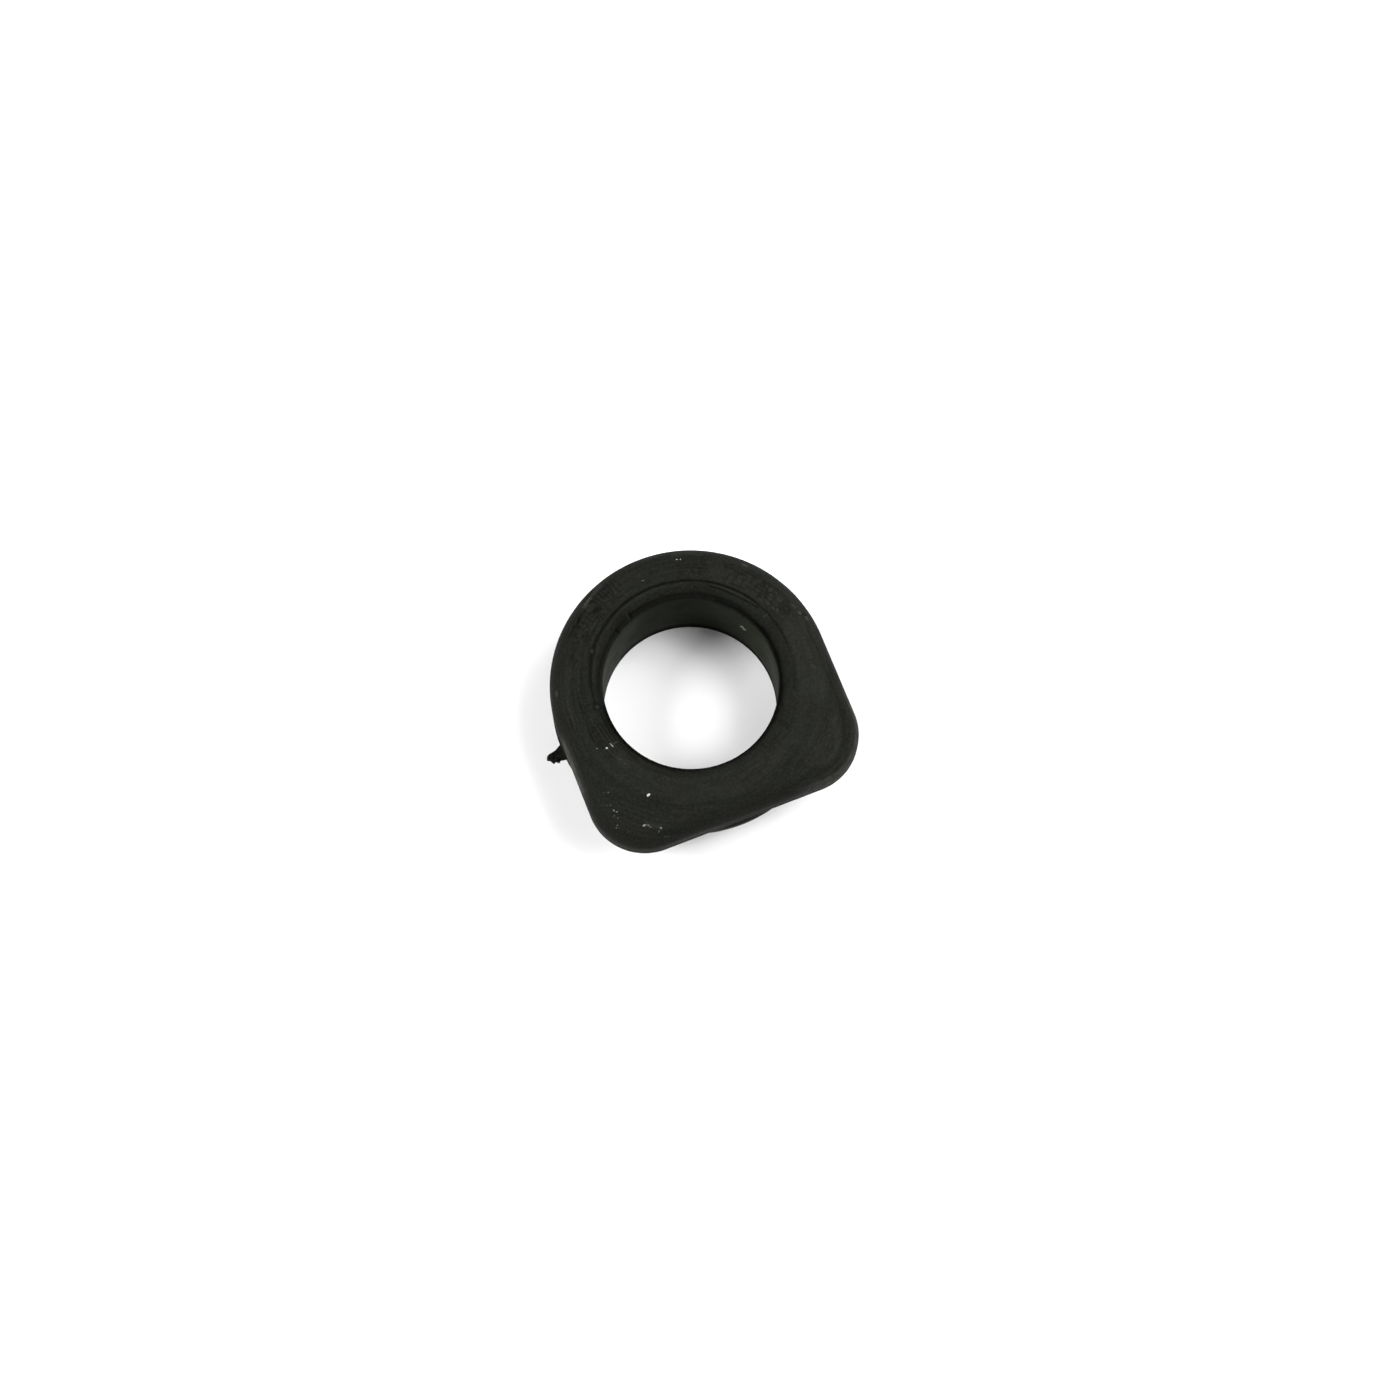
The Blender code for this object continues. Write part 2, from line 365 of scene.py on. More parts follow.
# Rows of fine scratches
HATCHES = (
    Hatch(108.5, 119.0, 17.5, 19.0, 11, 0.8, 0.012),
    Hatch(104.0, 110.0, 17.2, 18.2, 5, 0.6, 0.008),
    Hatch(120.0, 136.0, 15.7, 18.6, 9, 0.5, 0.012, ringed=True, run=0.6),
    Hatch(124.0, 134.0, 16.4, 17.9, 7, 0.5, 0.009, run=0.6),
    Hatch(58.0, 84.0, 16.2, 18.2, 7, 0.6, 0.005, ringed=True, run=0.5),
    Hatch(27.0, 48.0, 15.5, 18.3, 9, 0.9, 0.006, ringed=True, run=0.42),
    Hatch(30.0, 46.0, 15.6, 18.2, 9, 0.9, 0.006, run=0.36),
    Hatch(10.0, 30.0, 15.6, 18.0, 7, 0.8, 0.005, ringed=True, run=0.42),
    Hatch(12.0, 28.0, 15.5, 18.2, 9, 0.75, 0.005, run=0.36),
    Hatch(150.0, 180.0, 15.6, 18.6, 9, 0.4, 0.005, ringed=True),
    Hatch(186.0, 206.0, 14.3, 16.2, 7, 0.55, 0.006, ringed=True),
)

# Where the rubber has aged to a fine net of cracks
CRAZED_PATCHES = (
    Patch(6.0, 60.0, 15.05, 18.9, 1.0), Patch(52.0, 96.0, 15.4, 18.4, 0.6),
    Patch(102.0, 143.0, 15.3, 19.5, 0.75), Patch(-179.0, -148.0, 13.8, 16.8, 0.5),
    Patch(-70.0, -42.0, 13.6, 16.0, 0.5), Patch(-28.0, 8.0, 15.6, 18.4, 0.35),
    Patch(-148.0, -70.0, 14.6, 19.5, 0.12), Patch(142.0, 180.0, 14.6, 18.8, 0.35),
)

# Where the upper face is painted a slightly paler grey, as painted light
PAINTED_LIGHT_PATCHES = (
    Patch(-40.0, 36.0, 14.8, 20.5, 0.0135), Patch(6.0, 66.0, 14.8, 20.0, 0.0095),
    Patch(-60.0, -14.0, 15.0, 23.0, 0.006),
    Patch(150.0, 181.0, 16.2, 19.0, 0.005), Patch(-178.0, -40.0, 12.9, 18.5, 0.0065),
    Patch(60.0, 120.0, 15.2, 19.0, 0.004),
)

# Two small blobs beside the crease ring
BLOBS = (Bump(142.1, 14.84, 0.46, 0.035), Bump(175.2, 13.94, 0.50, 0.028))

# Stretches of the flange's side painted paler, mostly painted highlights along the rim
RIM_HIGHLIGHTS = (
    RimHighlight(-72.0, -18.0, 12.0, 15.65, 0.052), RimHighlight(-72.0, -18.0, 15.65, 16.3, 0.012),
    RimHighlight(-158.0, -100.0, 13.4, 14.6, 0.024), RimHighlight(-158.0, -108.0, 12.2, 12.8, 0.024),
    RimHighlight(-122.0, -60.0, 12.0, 12.8, 0.006), RimHighlight(-14.0, 30.0, 12.2, 13.6, 0.006),
    RimHighlight(-179.5, -151.0, 12.8, 15.3, 0.085), RimHighlight(-179.5, -148.0, 15.3, 15.9, 0.020),
)


@dataclass
class FlangeOutline:
    """The U outline of the flange, with one straight side towards -Y."""

    end_radius: float = 20.4
    straight_side: float = 21.0
    corner_radius: float = 8.35

    def reach(self, angle: np.ndarray, inset: np.ndarray) -> np.ndarray:
        """Distance from the bore's axis to the outline, moved in by the inset.

        Args:
            angle: Directions in radians.
            inset: How far the outline is moved in, in mm.

        Returns:
            The distance in each direction, in mm.
        """
        across, along = np.abs(np.cos(angle)), -np.sin(angle)
        end = self.end_radius - inset
        side = end / np.maximum(across, TINY)
        base = (self.straight_side - inset) / np.maximum(along, TINY)
        square = np.minimum(side, base)
        centre_x = self.end_radius - self.corner_radius
        centre_y = self.straight_side - self.corner_radius
        towards = across * centre_x + along * centre_y
        aside = centre_x ** 2 + centre_y ** 2 - towards ** 2
        rounded = towards + np.sqrt(np.maximum((self.corner_radius - inset) ** 2 - aside, 0.0))
        in_corner = (square * across > centre_x) & (square * along > centre_y)
        lower = np.where(in_corner, rounded, square)
        return np.where(along <= 0.0, end, lower)


@dataclass
class Section:
    """Half section of the grommet, as a closed loop of (radius, height) points in mm."""

    height: float = 17.0
    face_height: float = 16.92
    bore_radius: float = 12.7
    bore_foot_radius: float = 12.9
    bore_foot_rounding: float = 0.5
    lip_rounding: float = 2.6
    crease_radius: float = 14.8
    groove_radius: float = 16.7
    groove_width: float = 3.2
    groove_corner: float = 0.4
    ring_radius: float = 20.4
    ring_rounding: float = 1.1
    ring_land: float = 0.8
    foot_radius: float = 16.6
    foot_rounding: float = 0.6
    flange_thickness: float = 5.5
    flange_radius: float = 20.4
    top_rounding: float = 3.0
    bottom_rounding: float = 0.85
    crease_zone: float = 0.3
    parting_height: float = 13.3
    parting_half: float = 0.14
    parting_depth: float = 0.09
    parting_clear: float = 0.3
    cone_angle: float = -33.0

    @property
    def underside(self) -> float:
        """Height of the flange's underside."""
        return self.height - self.flange_thickness

    @property
    def ring_top(self) -> float:
        """Height of the retaining ring's top."""
        return self.underside - self.groove_width

    @property
    def face_end(self) -> float:
        """Radius at which the flat top turns into its rounding, on the round end."""
        return self.flange_radius - self.top_rounding

    @property
    def groove_mouth(self) -> float:
        """Radius at which the groove's wall has turned into the flange's underside."""
        return self.groove_radius + self.groove_corner

    def lip(self) -> list[Point]:
        """The lip, from the crease ring down to the bore's wall.

        Returns:
            The lip's points.
        """
        centre_x = self.bore_radius + self.lip_rounding
        share = (centre_x - self.crease_radius) / self.lip_rounding
        drop = self.lip_rounding * sqrt(1.0 - share ** 2)
        start = 180.0 - degrees(atan2(drop, centre_x - self.crease_radius))
        return arc((centre_x, self.face_height - drop), self.lip_rounding,
                   start=start, end=180.0, steps=26)

    def parting_line(self) -> list[Point]:
        """The groove that the mould's parting left round the flange's side, from below.

        Returns:
            Its four points.
        """
        edge, middle, half = self.flange_radius, self.parting_height, self.parting_half
        floor = edge - self.parting_depth
        return [(edge, middle - half), (floor, middle - half / 3), (floor, middle + half / 3),
                (edge, middle + half)]

    def loop(self) -> list[Point]:
        """The whole closed section, from the crease ring down the bore and up the outside.

        An arc after a straight stretch starts one step in, so that no point is doubled.

        Returns:
            The section's points.
        """
        points = self.lip()
        foot_x = self.bore_foot_radius + self.bore_foot_rounding
        foot_start = (self.bore_foot_radius, self.bore_foot_rounding)
        points += line(points[-1], foot_start, steps=14)
        points += arc((foot_x, self.bore_foot_rounding), self.bore_foot_rounding,
                      start=198, end=270, steps=4)
        cone_centre = (self.foot_radius - self.foot_rounding, self.foot_rounding)
        land_foot = (self.ring_radius, self.ring_top - self.ring_rounding - self.ring_land)
        points += line(points[-1], (cone_centre[0], 0.0), steps=3)
        points += arc(cone_centre, self.foot_rounding, start=-72, end=self.cone_angle, steps=3)
        points += line(points[-1], land_foot, steps=6)
        ring_centre = (self.ring_radius - self.ring_rounding, self.ring_top - self.ring_rounding)
        points += arc(ring_centre, self.ring_rounding, start=0, end=90, steps=6)
        points += line(points[-1], (self.groove_mouth, self.ring_top), steps=3)
        points += arc((self.groove_mouth, self.ring_top + self.groove_corner),
                      self.groove_corner, start=252, end=180, steps=3)
        points += arc((self.groove_mouth, self.underside - self.groove_corner),
                      self.groove_corner, start=180, end=90, steps=4)
        bottom_start = (self.flange_radius - self.bottom_rounding, self.underside)
        points += line(points[-1], bottom_start, steps=4)
        bottom_centre = (bottom_start[0], self.underside + self.bottom_rounding)
        points += arc(bottom_centre, self.bottom_rounding, start=-72, end=0, steps=4)
        side_end = (self.flange_radius, self.face_height - self.top_rounding)
        below_parting = (self.flange_radius, self.parting_height - self.parting_clear)
        points += line(points[-1], below_parting, steps=2)
        points += self.parting_line()
        points += line(points[-1], side_end, steps=2)
        top_centre = (self.face_end, self.face_height - self.top_rounding)
        points += arc(top_centre, self.top_rounding, start=4.5, end=90, steps=19)
        zone_end = self.crease_radius + self.crease_zone
        points += line(points[-1], (zone_end, self.face_height), steps=20)
        points += line(points[-1], (self.crease_radius, self.face_height), steps=3)[:-1]
        return points


@dataclass
class GateRemnant:
    """The torn tongue on the retaining ring's rim.

    Its outline is given as shares of its reach and of its width.
    """

    reach: float = 2.6
    width: float = 2.8
    thickness: float = 1.1
    root: float = 1.2
    rim: float = 20.4
    direction: float = 182.3
    middle_height: float = 6.8
    edge_rounding: float = 0.14
    longest_edge: float = 0.3
    outline: tuple[Point, ...] = (
        (0.00, -0.39), (0.37, -0.21), (0.58, -0.18), (0.80, -0.15), (0.94, -0.06), (1.00, 0.07),
        (0.84, 0.16), (0.73, 0.38), (0.58, 0.32), (0.42, 0.45), (0.29, 0.35), (0.00, 0.42),
    )

    def make(self) -> bmesh.types.BMesh:
        """The tongue as a closed bmesh, in mm about the bore's axis.

        Returns:
            The bmesh.
        """
        builder = bmesh.new()
        plan = [(-self.root, -self.width / 2)]
        plan += [(self.reach * along, self.width * across) for along, across in self.outline]
        plan.append((-self.root, self.width / 2))
        bottom = -self.thickness / 2
        face = builder.faces.new([builder.verts.new((x, y, bottom)) for x, y in plan])
        lower = list(face.edges)
        grown = bmesh.ops.extrude_face_region(builder, geom=[face], use_keep_orig=True)["geom"]
        raised = [item for item in grown if isinstance(item, bmesh.types.BMVert)]
        upper = [item for item in grown if isinstance(item, bmesh.types.BMEdge)]
        bmesh.ops.translate(builder, verts=raised, vec=(0.0, 0.0, self.thickness))
        bmesh.ops.recalc_face_normals(builder, faces=builder.faces)
        bmesh.ops.bevel(builder, geom=lower + upper, offset=self.edge_rounding,
                        offset_type="OFFSET", affect="EDGES", segments=2, profile=0.5,
                        material=-1)
        bmesh.ops.triangulate(builder, faces=builder.faces)
        for _ in range(2):
            long_edges = [edge for edge in builder.edges
                          if edge.calc_length() > self.longest_edge]
            bmesh.ops.subdivide_edges(builder, edges=long_edges, cuts=1, use_grid_fill=True)
            bmesh.ops.triangulate(builder, faces=builder.faces)
        place = Matrix.Rotation(radians(self.direction), 4, "Z")
        place = place @ Matrix.Translation((self.rim, 0.0, self.middle_height))
        bmesh.ops.transform(builder, matrix=place, verts=builder.verts)
        return builder


def to_object(name: str, builder: bmesh.types.BMesh) -> bpy.types.Object:
    """Turn a bmesh into a named object and free the bmesh.

    Args:
        name: The object's name.
        builder: The bmesh, which is freed.

    Returns:
        The object, linked to the scene.
    """
    mesh = bpy.data.meshes.new(name)
    builder.to_mesh(mesh)
    builder.free()
    made = bpy.data.objects.new(name, mesh)
    bpy.context.scene.collection.objects.link(made)
    return made


@dataclass(frozen=True)
class FaceLimits:
    """Heights and radii in mm, and upward shares of the normal, that part the faces."""

    top_height: float = 13.5
    top_slope: float = 0.12
    top_radius: float = 13.6
    lip_height: float = 14.3
    lip_radius: float = 14.9
    wall_height: float = 15.0
    wall_radius: float = 13.2
    side_height: float = 11.4
    side_radius: float = 18.0
    patch_slope: float = 0.05


LIMITS = FaceLimits()


class Relief:
    """Presses the marks into a mesh and keeps how dark and how pale each point is."""

    unevenness: float = 0.45
    thinnest_half: float = 0.03
    reach_widths: float = 2.5
    reach_beyond: float = 0.3
    arc_steps: int = 6

    def __init__(self, points: np.ndarray, normals: np.ndarray) -> None:
        """Start with nothing pressed in and no shade.

        Args:
            points: The mesh's points in mm about the bore's axis.
            normals: Their normals.
        """
        self.points = points
        self.normals = normals
        self.press = np.zeros(len(points))
        self.dark = np.zeros(len(points))
        self.pale = np.zeros(len(points))
        self.radius = np.hypot(points[:, 0], points[:, 1])
        self.angle = np.degrees(np.arctan2(points[:, 1], points[:, 0]))

    def on_face(self, face: Face) -> np.ndarray:
        """Mask of the points on one face of the grommet.

        Args:
            face: The face.

        Returns:
            True for the points on it.
        """
        height, upward = self.points[:, 2], self.normals[:, 2]
        if face is Face.TOP:
            return ((height > LIMITS.top_height) & (upward > LIMITS.top_slope)
                    & (self.radius > LIMITS.top_radius))
        if face is Face.LIP:
            return (height > LIMITS.lip_height) & (self.radius < LIMITS.lip_radius)
        if face is Face.WALL:
            return (self.radius < LIMITS.wall_radius) & (height < LIMITS.wall_height)
        return (height > LIMITS.side_height) & (self.radius > LIMITS.side_radius)

    def distance(self, mark: Mark, chosen: np.ndarray) -> np.ndarray:
        """Distance in plan from the chosen points to a mark's line, in mm.

        Args:
            mark: The mark.
            chosen: Numbers of the points.

        Returns:
            One distance for each chosen point.
        """
        plan = self.points[chosen, :2]
        steps = self.arc_steps if mark.polar else 1
        shares = np.arange(steps)[:, None] / steps
        ends = np.array(mark.points, dtype=float)
        route = [start + (end - start) * shares for start, end in zip(ends, ends[1:])]
        route = np.concatenate(route + [ends[-1:]])
        if mark.polar:
            turn = np.radians(route[:, 0])
            route = np.stack([route[:, 1] * np.cos(turn), route[:, 1] * np.sin(turn)], -1)
        nearest = np.full(len(plan), np.inf)
        for start, end in zip(route, route[1:]):
            along = end - start
            share = np.clip(((plan - start) @ along) / max(along @ along, TINY), 0.0, 1.0)
            gap = plan - start - share[:, None] * along
            nearest = np.minimum(nearest, np.hypot(gap[:, 0], gap[:, 1]))
        return nearest

    def add(self, mark: Mark, noise: np.ndarray) -> None:
        """Add one mark, with its width made uneven by the noise.

        Args:
            mark: The mark.
            noise: One value from -1 to 1 for each point.
        """
        chosen = np.flatnonzero(self.on_face(mark.face))
        reach = mark.width * self.reach_widths + self.reach_beyond
        gap = self.distance(mark, chosen)
        near = gap < reach
        chosen, gap = chosen[near], gap[near]
        half = mark.width / 2 * (1.0 + self.unevenness * noise[chosen])
        shape = np.exp(-((gap / np.maximum(half, self.thinnest_half)) ** 2))
        self.press[chosen] = np.maximum(self.press[chosen], mark.depth * shape)
        self.dark[chosen] = np.maximum(self.dark[chosen], mark.dark * shape)
        self.pale[chosen] = np.maximum(self.pale[chosen], mark.pale * shape)

    def add_blob(self, blob: Bump) -> None:
        """Add a raised blob: a pressed ring of painted shade round a pale middle.

        Args:
            blob: The blob.
        """
        turn = radians(blob.angle)
        centre = (blob.radius * cos(turn), blob.radius * sin(turn))
        chosen = np.flatnonzero(self.points[:, 2] > LIMITS.wall_height)
        gap = np.hypot(self.points[chosen, 0] - centre[0], self.points[chosen, 1] - centre[1])
        ring = np.exp(-(((gap - blob.size) / blob.ring_width) ** 2))
        middle = np.exp(-((gap / (blob.size * blob.middle)) ** 2))
        outside = 1.0 - middle
        self.press[chosen] = np.maximum(self.press[chosen] * outside, blob.ring_depth * ring)
        self.dark[chosen] = np.maximum(self.dark[chosen] * outside, blob.ring_dark * ring)
        self.pale[chosen] = np.maximum(self.pale[chosen], blob.pale * middle)


def patch_share(relief: Relief, patches: tuple[Patch, ...]) -> np.ndarray:
    """How strongly the patches cover each point of the upper face, from 0 to 1.

    Args:
        relief: The points and their normals.
        patches: The patches.

    Returns:
        The strongest share at each point.
    """
    total = np.zeros(len(relief.points))
    for patch in patches:
        turn, across = patch.end - patch.start, patch.outer - patch.inner
        share = window(relief.angle, patch.start, patch.end, turn * patch.border)
        share *= window(relief.radius, patch.inner, patch.outer, across * patch.border)
        total = np.maximum(total, patch.share * share)
    upper = relief.points[:, 2] > LIMITS.lip_height
    return total * upper * (relief.normals[:, 2] > LIMITS.patch_slope)


def rim_highlight_share(relief: Relief, highlights: tuple[RimHighlight, ...], noise: np.ndarray) -> np.ndarray:
    """How much the painted highlights pale each point of the flange's side, from 0 to 1.

    Args:
        relief: The points and their normals.
        highlights: The stretches of painted highlight.
        noise: One value from -1 to 1 for each point.

    Returns:
        The share at each point.
    """
    total = np.zeros(len(relief.points))
    for rim in highlights:
        turn, soft = rim.end - rim.start, rim.soft_height
        share = window(relief.angle, rim.start, rim.end, turn * rim.soft_end)
        share *= window(relief.points[:, 2], rim.low - soft, rim.high + soft, soft)
        total = np.maximum(total, rim.pale * share * (1.0 + rim.unevenness * noise))
    return total * relief.on_face(Face.SIDE)


def value_noise(points: np.ndarray, cell: float, seed: int) -> np.ndarray:
    """Smooth noise between -1 and 1 at points in mm, the same each run.

    Args:
        points: The places, one row each.
        cell: Size of the noise's cells, in mm.
        seed: Picks another pattern.

    Returns:
        One value for each point.
    """
    table = np.random.default_rng(seed).uniform(-1.0, 1.0, NOISE_VALUES)
    scaled = points / cell
    base = np.floor(scaled).astype(np.int64)
    share = scaled - base
    share = share * share * (3.0 - 2.0 * share)
    total = np.zeros(len(points))
    for corner in range(8):
        step = np.array([corner & 1, corner >> 1 & 1, corner >> 2 & 1])
        key = (base + step) @ np.array(NOISE_STRIDES)
        weight = np.prod(np.where(step, share, 1.0 - share), axis=1)
        total += weight * table[key % NOISE_VALUES]
    return total


@dataclass
class GrommetBody:
    """The rubber body: the spun section, drawn out to the flange's outline, with its relief.

    The wall's painted light and painted sheen are shares of the pale colour, its olive tint is a
    share of an olive colour, and the foot and lip shades are shares of painted shade.
    """

    section: Section = field(default_factory=Section)
    outline: FlangeOutline = field(default_factory=FlangeOutline)
    remnant: GateRemnant = field(default_factory=GateRemnant)
    turn_steps: int = 700
    uneven_cell: float = 0.55
    crazing_cell: float = 1.3
    crazing_middle: float = 0.75
    crazing_swing: float = 0.5
    wave_cell: float = 1.6
    wave_depth: float = 0.02
    # Painted shade along the bore's foot, faded out towards the left, and on the lip's steep part
    foot_shade_height: float = 1.65
    foot_shade_border: tuple[float, float] = (-0.2, 0.1)
    unshaded_foot: tuple[float, float] = (118.0, 140.0)
    # Painted light on the bore's wall, more towards the foot, and a painted sheen on its left and
    # right; then its olive tint
    wall_painted_light: float = 0.005
    wall_olive_tint: float = 0.010
    wall_painted_sheen: float = 0.019
    wall_sheen_angle: float = -23.5
    wall_sheen_power: int = 4
    wall_foot_painted_light: float = 0.007
    wall_foot_light_height: float = 6.0
    lip_shade_radius: float = 13.15
    lip_shade_swing: float = 0.17
    lip_shade_height: float = 15.85
    lip_shade_rise: float = 0.1
    lip_shade: float = 0.6
    lip_shade_border: float = 0.15
    remnant_gap: float = 0.03

    def make(self) -> bpy.types.Object:
        """Build the finished body, in the part's frame.

        Returns:
            The body, still without its materials.
        """
        body = self.spin()
        self.draw_out(body)
        self.join_remnant(body)
        self.press_relief(body)
        return body

    def spin(self) -> bpy.types.Object:
        """Spin the section round the bore's axis, in mm.

        Returns:
            The turned body.
        """
        builder = bmesh.new()
        verts = [builder.verts.new((radius, 0.0, height)) for radius, height in self.section.loop()]
        edges = [builder.edges.new(pair) for pair in zip(verts, verts[1:] + verts[:1])]
        bmesh.ops.spin(builder, geom=verts + edges, cent=(0, 0, 0), axis=(0, 0, 1),
                       angle=2 * pi, steps=self.turn_steps, use_merge=True)
        bmesh.ops.remove_doubles(builder, verts=builder.verts, dist=MERGE_GAP)
        bmesh.ops.recalc_face_normals(builder, faces=builder.faces)
        return to_object("grommet_rubber", builder)

    def draw_out(self, body: bpy.types.Object) -> None:
        """Move the flange's points outwards from the turned shape onto its outline.

        Args:
            body: The turned body.
        """
        points = read_rows(body.data.vertices, "co")
        section = self.section
        radius = np.hypot(points[:, 0], points[:, 1])
        angle = np.arctan2(points[:, 1], points[:, 0])
        inset = section.flange_radius - radius
        high = points[:, 2] > section.underside - LEVEL_GAP
        face_start = section.crease_radius + section.crease_zone
        top_face = high & (radius > face_start) & (inset > section.top_rounding)
        top_face &= points[:, 2] > section.face_height - LEVEL_GAP
        under_face = high & (points[:, 2] < section.underside + LEVEL_GAP)
        under_face &= (radius > section.groove_mouth) & (inset > section.bottom_rounding)
        edge = high & ~top_face & ~under_face & (radius > section.groove_mouth)
        moved = radius.copy()
        moved[edge] = self.outline.reach(angle[edge], inset[edge])
        for face, start, border in (
            (top_face, face_start, section.top_rounding),
            (under_face, section.groove_mouth, section.bottom_rounding),
        ):
            share = (radius[face] - start) / (section.flange_radius - border - start)
            limit = self.outline.reach(angle[face], np.full(face.sum(), border))
            moved[face] = start + share * (limit - start)
        points[:, 0] = moved * np.cos(angle)
        points[:, 1] = moved * np.sin(angle)
        write_points(body.data, points)

    def join_remnant(self, body: bpy.types.Object) -> None:
        """Unite the torn remnant with the ring's rim.

        Args:
            body: The drawn-out body.
        """
        tongue = to_object("remnant", self.remnant.make())
        modifier = body.modifiers.new("remnant", "BOOLEAN")
        modifier.operation = "UNION"
        modifier.solver = "EXACT"
        modifier.object = tongue
        bpy.context.view_layer.update()
        evaluated = body.evaluated_get(bpy.context.evaluated_depsgraph_get())
        mesh = bpy.data.meshes.new_from_object(evaluated)
        body.modifiers.clear()
        body.data = mesh
        bpy.data.objects.remove(tongue, do_unlink=True)

    def press_relief(self, body: bpy.types.Object) -> None:
        """Press the marks in, store the attributes and move the mesh to its place.

        Args:
            body: The body with its remnant, in mm about the bore's axis.
        """
        mesh = body.data
        points = read_rows(mesh.vertices, "co")
        normals = read_rows(mesh.vertex_normals, "vector")
        relief = Relief(points, normals)
        uneven = value_noise(points, self.uneven_cell, RANDOM_SEED)
        scratches = tuple(mark for hatch in HATCHES for mark in hatch.marks())
        for mark in RING_MARKS + RADIAL_MARKS + LIP_MARKS + EDGE_MARKS + FAINT_MARKS + scratches:
            relief.add(mark, uneven)
        for blob in BLOBS:
            relief.add_blob(blob)
        # Painted shade on the lip's steep part and along the bore's foot
        relief.dark = np.maximum(relief.dark, self.bore_shade(relief))
        # Painted highlights along the flange's side
        relief.pale = np.maximum(relief.pale, rim_highlight_share(relief, RIM_HIGHLIGHTS, uneven))
        # Painted light on the upper face
        relief.pale += patch_share(relief, PAINTED_LIGHT_PATCHES)
        # Painted light on the bare bore wall: paler all over, more towards the foot, with a painted
        # sheen on its left and right
        low_wall = 1.0 - smooth_share(points[:, 2], 0.0, self.wall_foot_light_height)
        sideways = np.cos(np.radians(relief.angle - self.wall_sheen_angle)) ** self.wall_sheen_power
        wall_light = self.wall_painted_light + self.wall_foot_painted_light * low_wall + self.wall_painted_sheen * sideways
        bare_wall = (1.0 - relief.dark) * relief.on_face(Face.WALL)
        relief.pale += wall_light * bare_wall
        # An olive tint on the bare bore wall
        bloom = self.wall_olive_tint * bare_wall
        crazed = patch_share(relief, CRAZED_PATCHES)
        swing = self.crazing_swing * value_noise(points, self.crazing_cell, RANDOM_SEED + 2)
        crazed *= self.crazing_middle + swing
        waves = 0.5 + 0.5 * value_noise(points, self.wave_cell, RANDOM_SEED + 1)
        press = relief.press + self.wave_depth * waves * relief.on_face(Face.TOP)
        points -= normals * press[:, None]
        points[:, :2] += BORE_AXIS
        write_points(mesh, points * MM)
        # dark holds painted shade; pale holds scuffs, painted highlights and painted light
        layers = {"dark": relief.dark, "pale": relief.pale, "bloom": bloom,
                  "crazed": np.clip(crazed, 0.0, 1.0)}
        for name, values in layers.items():
            layer = mesh.attributes.new(name, "FLOAT", "POINT")
            layer.data.foreach_set("value", values.astype(np.float32))
        mesh.shade_smooth()

    def bore_shade(self, relief: Relief) -> np.ndarray:
        """Painted shade on the lip's steep part and along the bore's foot, from 0 to 1.

        Args:
            relief: The points and their normals.

        Returns:
            The painted shade at each point.
        """
        height = relief.points[:, 2]
        unshaded = smooth_share(np.abs(relief.angle), *self.unshaded_foot)
        top = self.foot_shade_height * (1.0 - unshaded)
        foot = 1.0 - smooth_share(height - top, *self.foot_shade_border)
        foot *= relief.on_face(Face.WALL)
        rise, soft = self.lip_shade_rise, self.lip_shade_border
        steep = smooth_share(height - self.lip_shade_height, -rise, rise)
        border = self.lip_shade_radius + self.lip_shade_swing * np.sin(np.radians(relief.angle))
        steep *= 1.0 - smooth_share(relief.radius - border, -soft, soft)
        return np.maximum(foot, self.lip_shade * steep * relief.on_face(Face.LIP))

    def dress(self, body: bpy.types.Object) -> None:
        """Give the body its rubber, and the torn remnant its own rougher finish.

        Args:
            body: The finished body, in metres.
        """
        mesh = body.data
        mesh.materials.clear()
        mesh.materials.append(RubberFinish().make())
        mesh.materials.append(TornFinish().make())
        centres = read_rows(mesh.polygons, "center") / MM - (*BORE_AXIS, 0.0)
        beyond = np.hypot(centres[:, 0], centres[:, 1]) > self.remnant.rim + self.remnant_gap
        level = np.abs(centres[:, 2] - self.remnant.middle_height) < self.remnant.thickness
        mesh.polygons.foreach_set("material_index", (beyond & level).astype(np.int32))


def read_rows(items: bpy.types.bpy_prop_collection, name: str) -> np.ndarray:
    """Read one vector from each of a mesh's items.

    Args:
        items: The mesh's points, normals or faces.
        name: What the vector is called there.

    Returns:
        The vectors, one row each.
    """
    rows = np.zeros(len(items) * 3)
    items.foreach_get(name, rows)
    return rows.reshape(-1, 3)


def write_points(mesh: bpy.types.Mesh, points: np.ndarray) -> None:
    """Put the points back into the mesh."""
    mesh.vertices.foreach_set("co", points.astype(np.float32).ravel())
    mesh.update()


